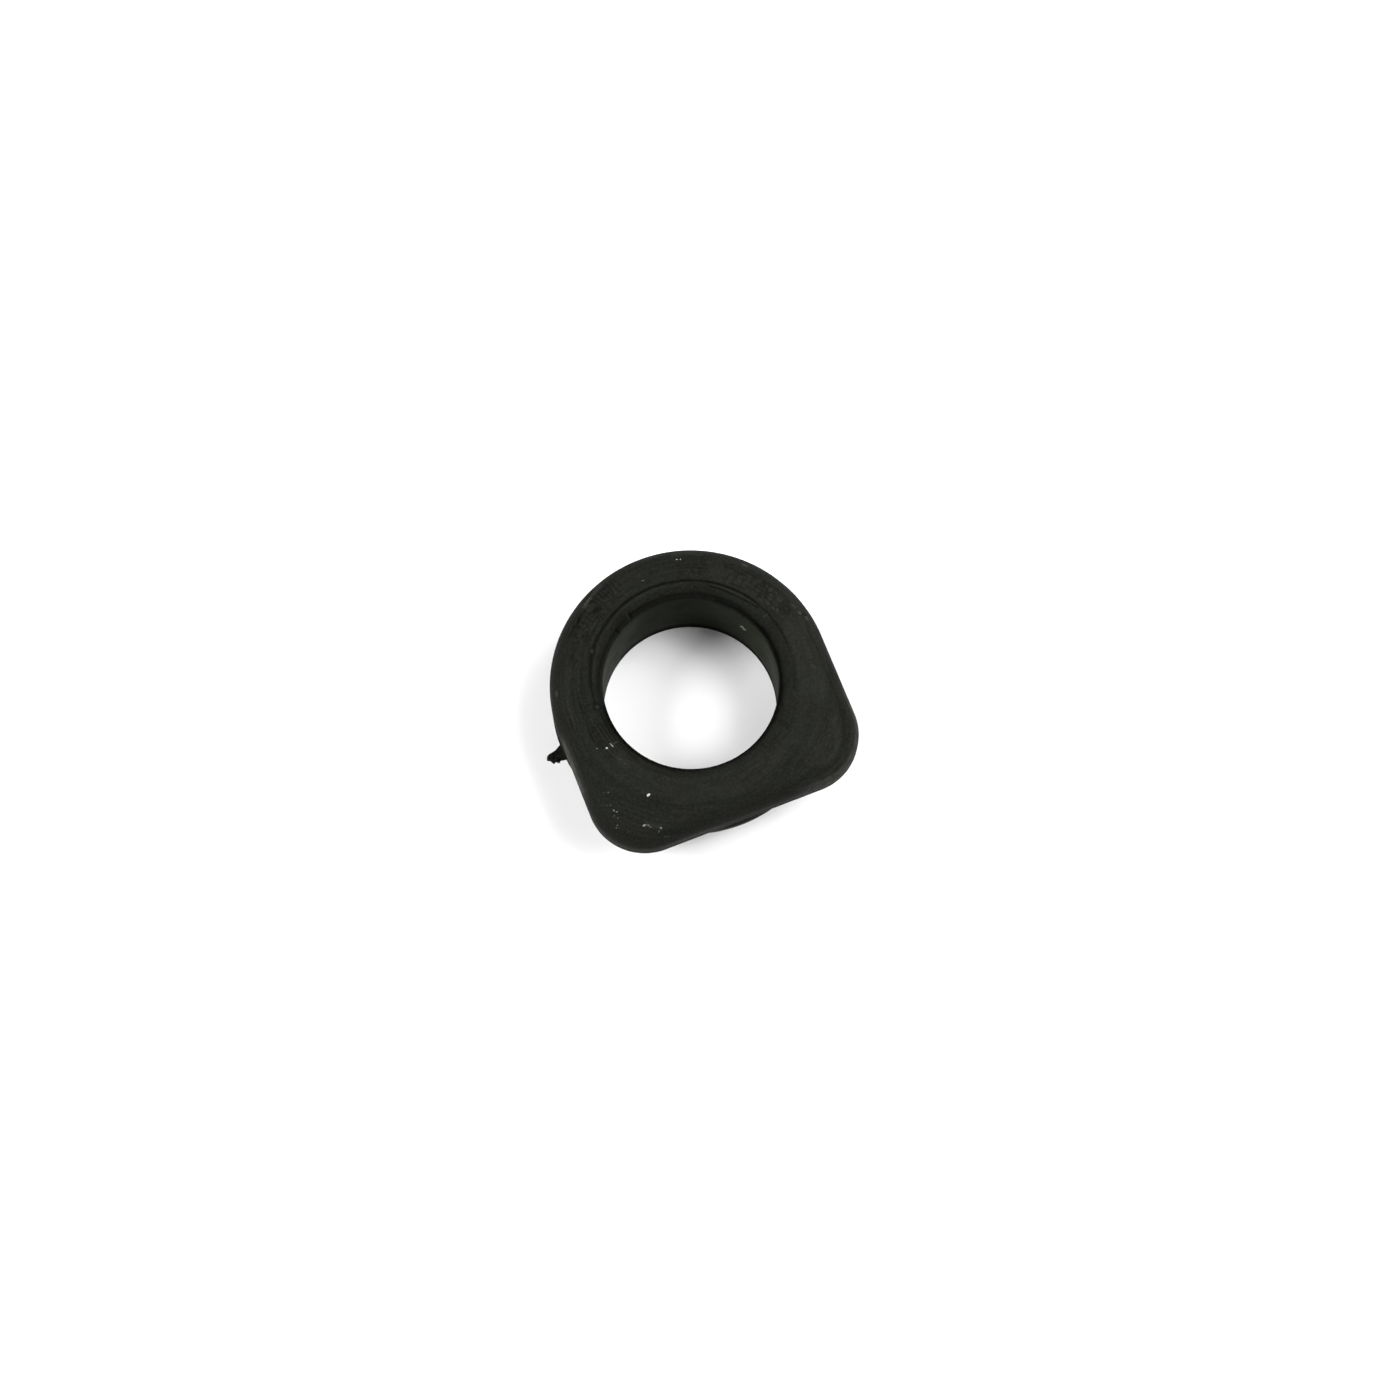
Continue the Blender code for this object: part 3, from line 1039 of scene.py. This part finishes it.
# Crumbs of residue, placed as in the photo; the last two lie on the bore's wall
SPECKS = (
    Speck(4.72, 17.65, 0.32, 0.17, -24, 0.42), Speck(5.24, 17.48, 0.26, 0.18, -30, 0.32),
    Speck(-1.05, 16.40, 0.44, 0.18, -5, 0.09),
    Speck(-16.24, -4.67, 0.24, 0.20, 0, 0.12), Speck(-14.89, -5.12, 0.34, 0.28, 10, 0.55),
    Speck(-14.09, -4.93, 0.70, 0.17, -66, 0.36),
    Speck(-13.72, -7.32, 0.36, 0.20, -60, 0.022), Speck(-13.3, -8.2, 0.40, 0.22, -50, 0.018),
    Speck(-11.87, -13.73, 0.62, 0.38, 8, 0.6),
    Speck(-13.95, -17.55, 0.50, 0.34, -16, 0.26), Speck(-13.45, -17.8, 0.34, 0.20, -30, 0.12),
    Speck(-13.25, -18.1, 0.40, 0.20, -20, 0.05),
    Speck(-11.95, -18.79, 0.38, 0.28, -50, 0.13), Speck(-12.4, -19.1, 0.40, 0.18, 50, 0.05),
    Speck(-17.26, -14.01, 0.30, 0.22, 60, 0.2), Speck(-16.92, -14.30, 0.28, 0.18, -20, 0.17),
    Speck(-17.09, -15.24, 0.30, 0.18, 60, 0.05), Speck(-17.42, -14.72, 0.30, 0.18, 40, 0.04),
    Speck(-17.51, -16.12, 0.26, 0.18, 30, 0.07), Speck(-17.77, -16.40, 0.32, 0.22, 30, 0.06),
    Speck(-16.98, -11.23, 0.22, 0.18, 0, 0.09), Speck(-17.67, -11.03, 0.20, 0.16, 0, 0.06),
    Speck(-17.41, -13.12, 0.24, 0.16, 0, 0.08), Speck(-17.83, -12.96, 0.18, 0.16, 0, 0.05),
    Speck(-11.75, -20.03, 0.30, 0.16, 0, 0.04), Speck(-11.34, -20.13, 0.24, 0.14, 0, 0.05),
    Speck(-9.1, 16.9, 0.26, 0.18, 30, 0.10), Speck(-9.6, 16.55, 0.24, 0.16, 30, 0.14),
    Speck(-8.95, 16.5, 0.20, 0.14, 30, 0.06), Speck(-10.05, 16.3, 0.20, 0.16, 30, 0.07),
    Speck(10.78, 6.70, 1.00, 0.66, 0, 0.40, wall_height=9.1),
    Speck(10.98, 6.38, 0.80, 0.50, 0, 0.32, wall_height=8.8),
)


@dataclass
class Residue:
    """Dried crumbs that stick to the rubber."""

    specks: tuple[Speck, ...] = SPECKS
    sink: float = 0.35
    unevenness: float = 0.5
    shade_swing: float = 0.3
    noise_cell: float = 0.7
    noise_step: float = 7.3
    drop_height: float = 30.0

    def make(self, body: bpy.types.Object) -> bpy.types.Object:
        """Lay every crumb on the body's surface and join them into one object.

        Args:
            body: The finished rubber body, in metres.

        Returns:
            The crumbs as one object.
        """
        builder = bmesh.new()
        builder.verts.layers.float.new("shade")
        tree = BVHTree.FromObject(body, bpy.context.evaluated_depsgraph_get())
        axis = Vector((*BORE_AXIS, 0.0))
        for index, speck in enumerate(self.specks):
            if speck.wall_height < 0.0:
                start = Vector((speck.x, speck.y, self.drop_height))
                towards = Vector((0.0, 0.0, -1.0))
            else:
                start = Vector((0.0, 0.0, speck.wall_height))
                towards = Vector((speck.x, speck.y, 0.0)).normalized()
            place, normal, _, _ = tree.ray_cast((start + axis) * MM, towards)
            self.add_crumb(builder, speck, place / MM, normal, index)
        bmesh.ops.scale(builder, vec=(MM, MM, MM), verts=builder.verts)
        bmesh.ops.recalc_face_normals(builder, faces=builder.faces)
        made = to_object("residue_specks", builder)
        made.data.shade_smooth()
        return made

    def add_crumb(self, builder: bmesh.types.BMesh, speck: Speck, place: Vector,
                  normal: Vector, index: int) -> None:
        """Add one flattened, uneven crumb to the bmesh, in mm.

        Args:
            builder: The bmesh.
            speck: The crumb's sizes and shade.
            place: Where it lies.
            normal: The surface's normal there.
            index: Picks another unevenness for each crumb.
        """
        shade = builder.verts.layers.float["shade"]
        verts = bmesh.ops.create_icosphere(builder, subdivisions=3, radius=1.0)["verts"]
        places = np.array([vert.co for vert in verts]) + self.noise_step * index
        rough = value_noise(places, self.noise_cell, RANDOM_SEED)
        for vert, value in zip(verts, rough):
            vert.co *= 1.0 + self.unevenness * value
            vert[shade] = speck.shade * (1.0 + self.shade_swing * value)
        sizes = (speck.length / 2, speck.width / 2, speck.thickness)
        bmesh.ops.scale(builder, vec=sizes, verts=verts)
        bmesh.ops.translate(builder, verts=verts, vec=(0, 0, -self.sink * speck.thickness))
        turn = Matrix.Rotation(radians(speck.turn), 4, "Z")
        tilt = Vector((0.0, 0.0, 1.0)).rotation_difference(normal).to_matrix().to_4x4()
        matrix = Matrix.Translation(place) @ tilt @ turn
        bmesh.ops.transform(builder, matrix=matrix, verts=verts)


Socket = bpy.types.NodeSocket
Feed = Socket | float | tuple[float, ...]


class Bench:
    """Makes and links the nodes of one tree."""

    def __init__(self, tree: bpy.types.NodeTree) -> None:
        """Work on the given tree."""
        self.tree = tree

    def node(self, kind: str, **settings: object) -> bpy.types.Node:
        """Add a node.

        Args:
            kind: The node's type.
            settings: Values for its own options.

        Returns:
            The node.
        """
        made = self.tree.nodes.new(kind)
        for name, value in settings.items():
            setattr(made, name, value)
        return made

    def feed(self, value: Feed, socket: Socket) -> None:
        """Link a socket, or set a plain value.

        Args:
            value: The socket that feeds, or a number, colour or vector.
            socket: The socket that is fed.
        """
        if isinstance(value, bpy.types.NodeSocket):
            self.tree.links.new(value, socket)
        elif isinstance(value, tuple) and len(socket.default_value) == 4:
            socket.default_value = (*value, 1.0)
        else:
            socket.default_value = value

    def feed_all(self, node: bpy.types.Node, values: dict[str, Feed]) -> None:
        """Feed a node's inputs by name."""
        for name, value in values.items():
            self.feed(value, node.inputs[name])

    def attribute(self, name: str) -> Socket:
        """The value of one of the mesh's point attributes."""
        return self.node("ShaderNodeAttribute", attribute_name=name).outputs["Fac"]

    def place(self, axis: Point = BORE_AXIS) -> Socket:
        """Object coordinates in mm.

        Args:
            axis: The place at the foot that they are measured from, in mm.

        Returns:
            The coordinates.
        """
        mapping = self.node("ShaderNodeMapping")
        self.feed_all(mapping, {
            "Vector": self.node("ShaderNodeTexCoord").outputs["Object"],
            "Location": (-axis[0], -axis[1], 0.0),
            "Scale": (1.0 / MM,) * 3,
        })
        return mapping.outputs["Vector"]

    def noise(self, place: Socket, scale: Feed = 1.0, detail: float = 1.0,
              roughness: float = 0.5) -> Socket:
        """Noise over the surface.

        Args:
            place: Coordinates of the pattern.
            scale: Cycles in each unit of the coordinates.
            detail: How many finer layers the noise has.
            roughness: How strong the finer layers are.

        Returns:
            The noise, from 0 to 1.
        """
        node = self.node("ShaderNodeTexNoise")
        self.feed_all(node, {"Vector": place, "Scale": scale, "Detail": detail,
                             "Roughness": roughness})
        return node.outputs["Fac"]

    def math(self, operation: str, first: Feed, second: Feed = 0.0) -> Socket:
        """One arithmetic step.

        Args:
            operation: The step's name.
            first: Its first value.
            second: Its second value, where it takes one.

        Returns:
            The result.
        """
        node = self.node("ShaderNodeMath", operation=operation)
        self.feed(first, node.inputs[0])
        self.feed(second, node.inputs[1])
        return node.outputs[0]

    def mapped(self, value: Socket, source: Point, target: tuple[Feed, Feed]) -> Socket:
        """Map a value from one range to another, kept within it and eased at its ends.

        Args:
            value: The value.
            source: The range that it comes from.
            target: What the ends of that range become.

        Returns:
            The mapped value.
        """
        node = self.node("ShaderNodeMapRange", interpolation_type="SMOOTHSTEP")
        names = ("Value", "From Min", "From Max", "To Min", "To Max")
        self.feed_all(node, dict(zip(names, (value, *source, *target))))
        return node.outputs["Result"]

    def mix(self, factor: Socket, first: Feed, second: Feed) -> Socket:
        """Mix two colours.

        Args:
            factor: Share of the second colour.
            first: The first colour.
            second: The second colour.

        Returns:
            The mixed colour.
        """
        node = self.node("ShaderNodeMix", data_type="RGBA")
        for value, index in ((factor, 0), (first, 6), (second, 7)):
            self.feed(value, node.inputs[index])
        return node.outputs[2]

    def scaled(self, colour: Socket, amount: Socket) -> Socket:
        """Make a colour lighter or darker.

        Args:
            colour: The colour.
            amount: The factor.

        Returns:
            The changed colour.
        """
        node = self.node("ShaderNodeVectorMath", operation="SCALE")
        self.feed(colour, node.inputs[0])
        self.feed(amount, node.inputs["Scale"])
        return node.outputs[0]

    def bump(self, height: Socket, strength: float, distance: float) -> Socket:
        """Raise a surface by a pattern.

        Args:
            height: The pattern.
            strength: Share of the effect.
            distance: Height of a full step, in metres.

        Returns:
            The changed normal.
        """
        node = self.node("ShaderNodeBump")
        self.feed_all(node, {"Height": height, "Strength": strength, "Distance": distance})
        return node.outputs["Normal"]

    def group(self, tree: bpy.types.NodeTree, **values: Feed) -> bpy.types.Node:
        """Place a node group.

        Args:
            tree: The group's tree.
            values: What its inputs are fed with.

        Returns:
            The group's node.
        """
        made = self.node("ShaderNodeGroup", node_tree=tree)
        self.feed_all(made, values)
        return made


GroupParts = tuple[Bench, bpy.types.Node, bpy.types.Node]
MaterialParts = tuple[bpy.types.Material, Bench, bpy.types.Node]


def new_group(name: str, inputs: tuple[str, ...], outputs: tuple[str, ...]) -> GroupParts:
    """An empty shader node group that takes a place and values, and puts out values.

    Args:
        name: The group's name.
        inputs: Names of the values that it takes, besides the place.
        outputs: Names of the values that it puts out.

    Returns:
        A bench on the group's tree, its input node and its output node.
    """
    tree = bpy.data.node_groups.new(name, "ShaderNodeTree")
    tree.interface.new_socket("Place", in_out="INPUT", socket_type="NodeSocketVector")
    for labels, direction in ((inputs, "INPUT"), (outputs, "OUTPUT")):
        for label in labels:
            tree.interface.new_socket(label, in_out=direction, socket_type="NodeSocketFloat")
    bench = Bench(tree)
    return bench, bench.node("NodeGroupInput"), bench.node("NodeGroupOutput")


# The part of the grain's noise that counts
GRAIN_RANGE = (0.28, 0.72)


def grain_group() -> bpy.types.NodeTree:
    """Mottled grain that the rubber, its torn remnant and the residue share.

    Returns:
        The group's tree, built at the first call.
    """
    name = "mottled_grain"
    if name in bpy.data.node_groups:
        return bpy.data.node_groups[name]
    bench, given, result = new_group(name, ("Cycles", "Darkest", "Lightest"), ("Tone", "Height"))
    grain = bench.noise(given.outputs["Place"], given.outputs["Cycles"], detail=3.0,
                        roughness=0.62)
    tones = (given.outputs["Darkest"], given.outputs["Lightest"])
    tone = bench.mapped(grain, GRAIN_RANGE, tones)
    bench.feed_all(result, {"Tone": tone, "Height": grain})
    return bench.tree


def add_grain(bench: Bench, place: Socket, cycles: float, tones: Point) -> bpy.types.Node:
    """Place the shared grain, with its cycles per mm and its darkest and lightest tone."""
    return bench.group(grain_group(), Place=place, Cycles=cycles, Darkest=tones[0],
                       Lightest=tones[1])


@dataclass(frozen=True)
class RoundPattern:
    """Patterns that follow the bore, as cells in each radian and in each mm outwards.

    Lines and the net have half widths as shares of a noise or of a cell. The net is broken
    where another noise is low.
    """

    streaks: Point = (3.2, 2.6)
    spokes: Point = (13.0, 0.4)
    rings: Point = (4.0, 0.95)
    ridges: Point = (12.0, 0.7)
    height_share: float = 1.7
    line_half: float = 0.055
    net_half: float = 0.13
    net_strength: float = 0.9
    broken_range: Point = (0.36, 0.54)
    broken_strength: float = 0.1

    def group(self) -> bpy.types.NodeTree:
        """Build the node group.

        Returns:
            The group's tree.
        """
        bench, given, result = new_group("round_the_bore", ("Cell", "Gap"),
                                         ("Streaks", "Crazing", "Ridges"))
        place = given.outputs["Place"]
        net = bench.node("ShaderNodeTexVoronoi", feature="DISTANCE_TO_EDGE")
        cycles = bench.math("DIVIDE", 1.0, given.outputs["Cell"])
        bench.feed_all(net, {"Vector": place, "Scale": cycles})
        lines = bench.mapped(net.outputs["Distance"], (0.0, self.net_half),
                             (self.net_strength, 0.0))
        for cells in (self.spokes, self.rings):
            lines = bench.math("MAXIMUM", lines, self.fine_lines(bench, place, cells))
        broken = bench.mapped(bench.noise(place, given.outputs["Gap"], detail=2.0),
                              self.broken_range, (self.broken_strength, 1.0))
        bench.feed_all(result, {
            "Streaks": bench.noise(self.round_place(bench, place, self.streaks), detail=2.0),
            "Crazing": bench.math("MULTIPLY", lines, broken),
            "Ridges": self.fine_lines(bench, place, self.ridges),
        })
        return bench.tree

    def round_place(self, bench: Bench, place: Socket, cells: Point) -> Socket:
        """Pattern coordinates that follow the circles round the bore's axis.

        Args:
            bench: The bench to work on.
            place: Coordinates in mm about the bore's axis.
            cells: Cells of the pattern in each radian, and in each mm of radius or height.

        Returns:
            Coordinates in cells, for a pattern of scale 1.
        """
        parts = bench.node("ShaderNodeSeparateXYZ")
        bench.feed(place, parts.inputs[0])
        x, y, z = parts.outputs
        squares = bench.math("ADD", bench.math("MULTIPLY", x, x), bench.math("MULTIPLY", y, y))
        radius = bench.math("SQRT", squares)
        joined = bench.node("ShaderNodeCombineXYZ")
        for axis, socket in ((x, joined.inputs[0]), (y, joined.inputs[1])):
            bench.feed(bench.math("MULTIPLY", bench.math("DIVIDE", axis, radius), cells[0]), socket)
        drop = bench.math("MULTIPLY", z, self.height_share)
        outwards = bench.math("SUBTRACT", radius, drop)
        bench.feed(bench.math("MULTIPLY", outwards, cells[1]), joined.inputs[2])
        return joined.outputs[0]

    def fine_lines(self, bench: Bench, place: Socket, cells: Point) -> Socket:
        """Thin lines along the middle value of a noise that follows the bore.

        Args:
            bench: The bench to work on.
            place: Coordinates in mm about the bore's axis.
            cells: Cells of the noise in each radian and in each mm outwards.

        Returns:
            The lines, from 0 to 1.
        """
        noise = bench.noise(self.round_place(bench, place, cells))
        away = bench.math("ABSOLUTE", bench.math("SUBTRACT", noise, 0.5))
        return bench.mapped(away, (0.0, self.line_half), (1.0, 0.0))


def new_material(name: str, roughness: float, specular: float) -> MaterialParts:
    """A node material.

    Args:
        name: The material's name.
        roughness: Roughness of its Principled shader.
        specular: Strength of its reflections.

    Returns:
        The material, a bench on its tree and its Principled shader.
    """
    material = bpy.data.materials.new(name)
    material.use_nodes = True
    bench = Bench(material.node_tree)
    shader = bench.tree.nodes["Principled BSDF"]
    bench.feed_all(shader, {"Roughness": roughness, "Specular IOR Level": specular})
    return material, bench, shader


@dataclass(frozen=True)
class RubberFinish:
    """Worn charcoal rubber: colours are linear, patterns are in cycles per mm.

    A range is the part of a pattern that counts, and tones are factors at its two ends.
    """

    base: Colour = (0.0059, 0.0067, 0.0056)
    warm: Colour = (0.0069, 0.0072, 0.0057)
    # Near-black: painted shade in cracks, creases and scratches, on the lip's steep part and along
    # the bore's foot
    crack_and_shade: Colour = (0.0002, 0.0002, 0.0002)
    # Pale: scuffs, and painted highlights and painted light on the rim, the upper face and the
    # bore's wall
    scuff_and_painted_light: Colour = (0.30, 0.30, 0.27)
    # Olive tint of the bore's bare wall
    bloom: Colour = (0.30, 0.50, 0.06)
    sheen_tint: Colour = (0.96, 1.0, 0.84)
    specular: float = 0.05
    roughness: float = 0.68
    rough_swing: Point = (-0.06, 0.08)
    rough_range: Point = (0.3, 0.7)
    crack_roughness: float = 0.2
    patches: float = 0.16
    patch_range: Point = (0.35, 0.65)
    streak_range: Point = (0.3, 0.7)
    streak_tones: Point = (0.82, 1.18)
    ridge_tones: Point = (1.0, 1.45)
    grain: float = 3.4
    grain_tones: Point = (0.62, 1.42)
    crazing_cell: float = 1.35
    crazing_gap: float = 0.7
    crazing_strength: float = 0.9
    bump_strength: float = 0.5
    bump_distance: float = 0.00008

    def make(self) -> bpy.types.Material:
        """Build the node material.

        Returns:
            The material.
        """
        material, bench, shader = new_material("worn_black_rubber", self.roughness, self.specular)
        place = bench.place()
        patches = bench.noise(place, self.patches, detail=5.0, roughness=0.6)
        grain = add_grain(bench, place, self.grain, self.grain_tones)
        turned = bench.group(RoundPattern().group(), Place=place, Cell=self.crazing_cell,
                             Gap=self.crazing_gap)
        crazed = bench.attribute("crazed")
        crazing = bench.math("MULTIPLY", turned.outputs["Crazing"], crazed)
        lines = bench.math("MAXIMUM", bench.attribute("dark"),
                           bench.math("MULTIPLY", crazing, self.crazing_strength))
        streaks = bench.mapped(turned.outputs["Streaks"], self.streak_range, self.streak_tones)
        ridges = bench.mapped(bench.math("MULTIPLY", turned.outputs["Ridges"], crazed),
                              (0.0, 1.0), self.ridge_tones)
        colour = bench.mix(bench.mapped(patches, self.patch_range, (0.0, 1.0)), self.base, self.warm)
        colour = bench.scaled(colour, bench.math("MULTIPLY", grain.outputs["Tone"],
                                                 bench.math("MULTIPLY", streaks, ridges)))
        # Painted shade, then scuffs with painted light, then the wall's olive tint
        for share, shade in ((lines, self.crack_and_shade), (bench.attribute("pale"), self.scuff_and_painted_light),
                             (bench.attribute("bloom"), self.bloom)):
            colour = bench.mix(share, colour, shade)
        low, high = (self.roughness + swing for swing in self.rough_swing)
        rough = bench.math("ADD", bench.mapped(patches, self.rough_range, (low, high)),
                           bench.math("MULTIPLY", lines, self.crack_roughness))
        height = bench.math("SUBTRACT", grain.outputs["Height"], crazing)
        normal = bench.bump(height, self.bump_strength, self.bump_distance)
        bench.feed_all(shader, {"Base Color": colour, "Roughness": rough, "Normal": normal,
                                "Specular Tint": self.sheen_tint})
        return material


@dataclass(frozen=True)
class TornFinish:
    """The torn remnant: nearly black, with paler broken rubber in places."""

    base: Colour = (0.0008, 0.0009, 0.0007)
    broken: Colour = (0.011, 0.012, 0.009)
    roughness: float = 0.8
    specular: float = 0.04
    grain: float = 1.9
    bump_strength: float = 0.8
    bump_distance: float = 0.0002

    def make(self) -> bpy.types.Material:
        """Build the node material.

        Returns:
            The material.
        """
        material, bench, shader = new_material("torn_black_rubber", self.roughness, self.specular)
        grain = add_grain(bench, bench.place(), self.grain, (0.0, 1.0))
        bench.feed_all(shader, {
            "Base Color": bench.mix(grain.outputs["Tone"], self.base, self.broken),
            "Normal": bench.bump(grain.outputs["Height"], self.bump_strength, self.bump_distance),
        })
        return material


@dataclass(frozen=True)
class ResidueFinish:
    """Pale dried residue, from a faint film to nearly white crumbs."""

    faint: Colour = (0.010, 0.010, 0.009)
    full: Colour = (0.60, 0.58, 0.54)
    roughness: float = 0.85
    specular: float = 0.2
    grain: float = 3.0
    grain_tones: Point = (0.6, 1.15)
    bump_strength: float = 0.5
    bump_distance: float = 0.00005

    def make(self) -> bpy.types.Material:
        """Build the node material.

        Returns:
            The material.
        """
        material, bench, shader = new_material("pale_residue", self.roughness, self.specular)
        grain = add_grain(bench, bench.place((0.0, 0.0)), self.grain, self.grain_tones)
        colour = bench.mix(bench.attribute("shade"), self.faint, self.full)
        bench.feed_all(shader, {
            "Base Color": bench.scaled(colour, grain.outputs["Tone"]),
            "Normal": bench.bump(grain.outputs["Height"], self.bump_strength, self.bump_distance),
        })
        return material


@dataclass(frozen=True)
class SoftLight:
    """A large soft lamp: its share of the open floor's light, and its place in degrees."""

    name: str
    share: float
    elevation: float
    azimuth: float
    spread: float = 24.0


SOFT_LIGHTS = (
    SoftLight("left_window", 0.61, 50.0, 150.0), SoftLight("right_box", 0.33, 60.0, 330.0),
    SoftLight("rear_right", 0.28, 60.0, 0.0), SoftLight("low_right", 0.24, 40.0, 0.0),
    SoftLight("low_front_right", 0.09, 40.0, 330.0), SoftLight("overhead", 0.08, 70.0, 0.0),
    SoftLight("low_left", 0.16, 25.0, 180.0), SoftLight("front_fill", 0.06, 60.0, 240.0),
)


@dataclass
class Studio:
    """Pale floor, soft light and the camera at the photo's viewing angle."""

    floor_size: float = 1.2
    floor_albedo: float = 0.85
    floor_roughness: float = 0.9
    sky: Colour = (0.03, 0.03, 0.03)
    camera_elevation: float = 74.5
    camera_azimuth: float = 23.47
    camera_roll: float = 2.01
    camera_distance: float = 0.4077
    shift_right: float = 0.001462
    shift_up: float = 0.001552
    lens: float = 70.1
    sensor_width: float = 36.0

    def make_floor(self) -> bpy.types.Object:
        """A plain pale floor at the foot of the grommet.

        Returns:
            The floor, staged.
        """
        builder = bmesh.new()
        bmesh.ops.create_grid(builder, x_segments=1, y_segments=1, size=self.floor_size / 2)
        floor = to_object("floor", builder)
        material, bench, shader = new_material("floor_paper", self.floor_roughness, 0.0)
        bench.feed((self.floor_albedo,) * 3, shader.inputs["Base Color"])
        floor.data.materials.append(material)
        return floor

    def make_lights(self) -> None:
        """The soft lamps and a dim, even surround."""
        for soft in SOFT_LIGHTS:
            light = bpy.data.lights.new(soft.name, "SUN")
            turn, rise = radians(soft.azimuth), radians(soft.elevation)
            light.energy = soft.share * pi / (self.floor_albedo * sin(rise))
            light.angle = radians(soft.spread)
            lamp = bpy.data.objects.new(soft.name, light)
            bpy.context.scene.collection.objects.link(lamp)
            towards = Vector((cos(turn) * cos(rise), sin(turn) * cos(rise), sin(rise)))
            lamp.rotation_euler = towards.to_track_quat("Z", "Y").to_euler()
        world = bpy.data.worlds.new("surround")
        world.use_nodes = True
        background = world.node_tree.nodes["Background"]
        background.inputs["Color"].default_value = (*self.sky, 1.0)
        background.inputs["Strength"].default_value = 1.0
        bpy.context.scene.world = world

    def make_camera(self, axis_foot: Vector) -> None:
        """Place the camera by its angles and distance from the foot of the bore's axis.

        Args:
            axis_foot: The foot of the bore's axis, in metres.
        """
        rise, turn, roll = (radians(value) for value in
                            (self.camera_elevation, self.camera_azimuth, self.camera_roll))
        back = Vector((-sin(turn) * cos(rise), -cos(turn) * cos(rise), sin(rise)))
        level = Vector((cos(turn), -sin(turn), 0.0))
        upright = back.cross(level)
        right = level * cos(roll) + upright * sin(roll)
        up = upright * cos(roll) - level * sin(roll)
        place = axis_foot + back * self.camera_distance
        place += right * self.shift_right + up * self.shift_up
        lens = bpy.data.cameras.new("photo_camera")
        lens.lens = self.lens
        lens.sensor_width = self.sensor_width
        camera = bpy.data.objects.new("photo_camera", lens)
        turned = Matrix((right, up, back)).transposed().to_4x4()
        camera.matrix_world = Matrix.Translation(place) @ turned
        bpy.context.scene.collection.objects.link(camera)
        bpy.context.scene.camera = camera
        bpy.context.scene.view_settings.view_transform = "Standard"


def hand_over(piece: bpy.types.Object) -> None:
    """Let a piece ride with the grommet's body.

    Args:
        piece: The piece's object.
    """
    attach(piece, BODY)
    LOG.info("%s: %d points, %d faces", piece.name, len(piece.data.vertices),
             len(piece.data.polygons))


def main() -> None:
    """Build the studio, the rubber body and its residue."""
    logging.basicConfig(level=logging.INFO, format="%(message)s")
    grommet = GrommetBody()
    studio = Studio()
    studio.make_camera(Vector((*BORE_AXIS, 0.0)) * MM)
    studio.make_floor()
    studio.make_lights()
    body = grommet.make()
    grommet.dress(body)
    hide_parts(NODE)
    hand_over(body)
    specks = Residue().make(body)
    specks.data.materials.append(ResidueFinish().make())
    hand_over(specks)


if __name__ == "__main__":
    main()
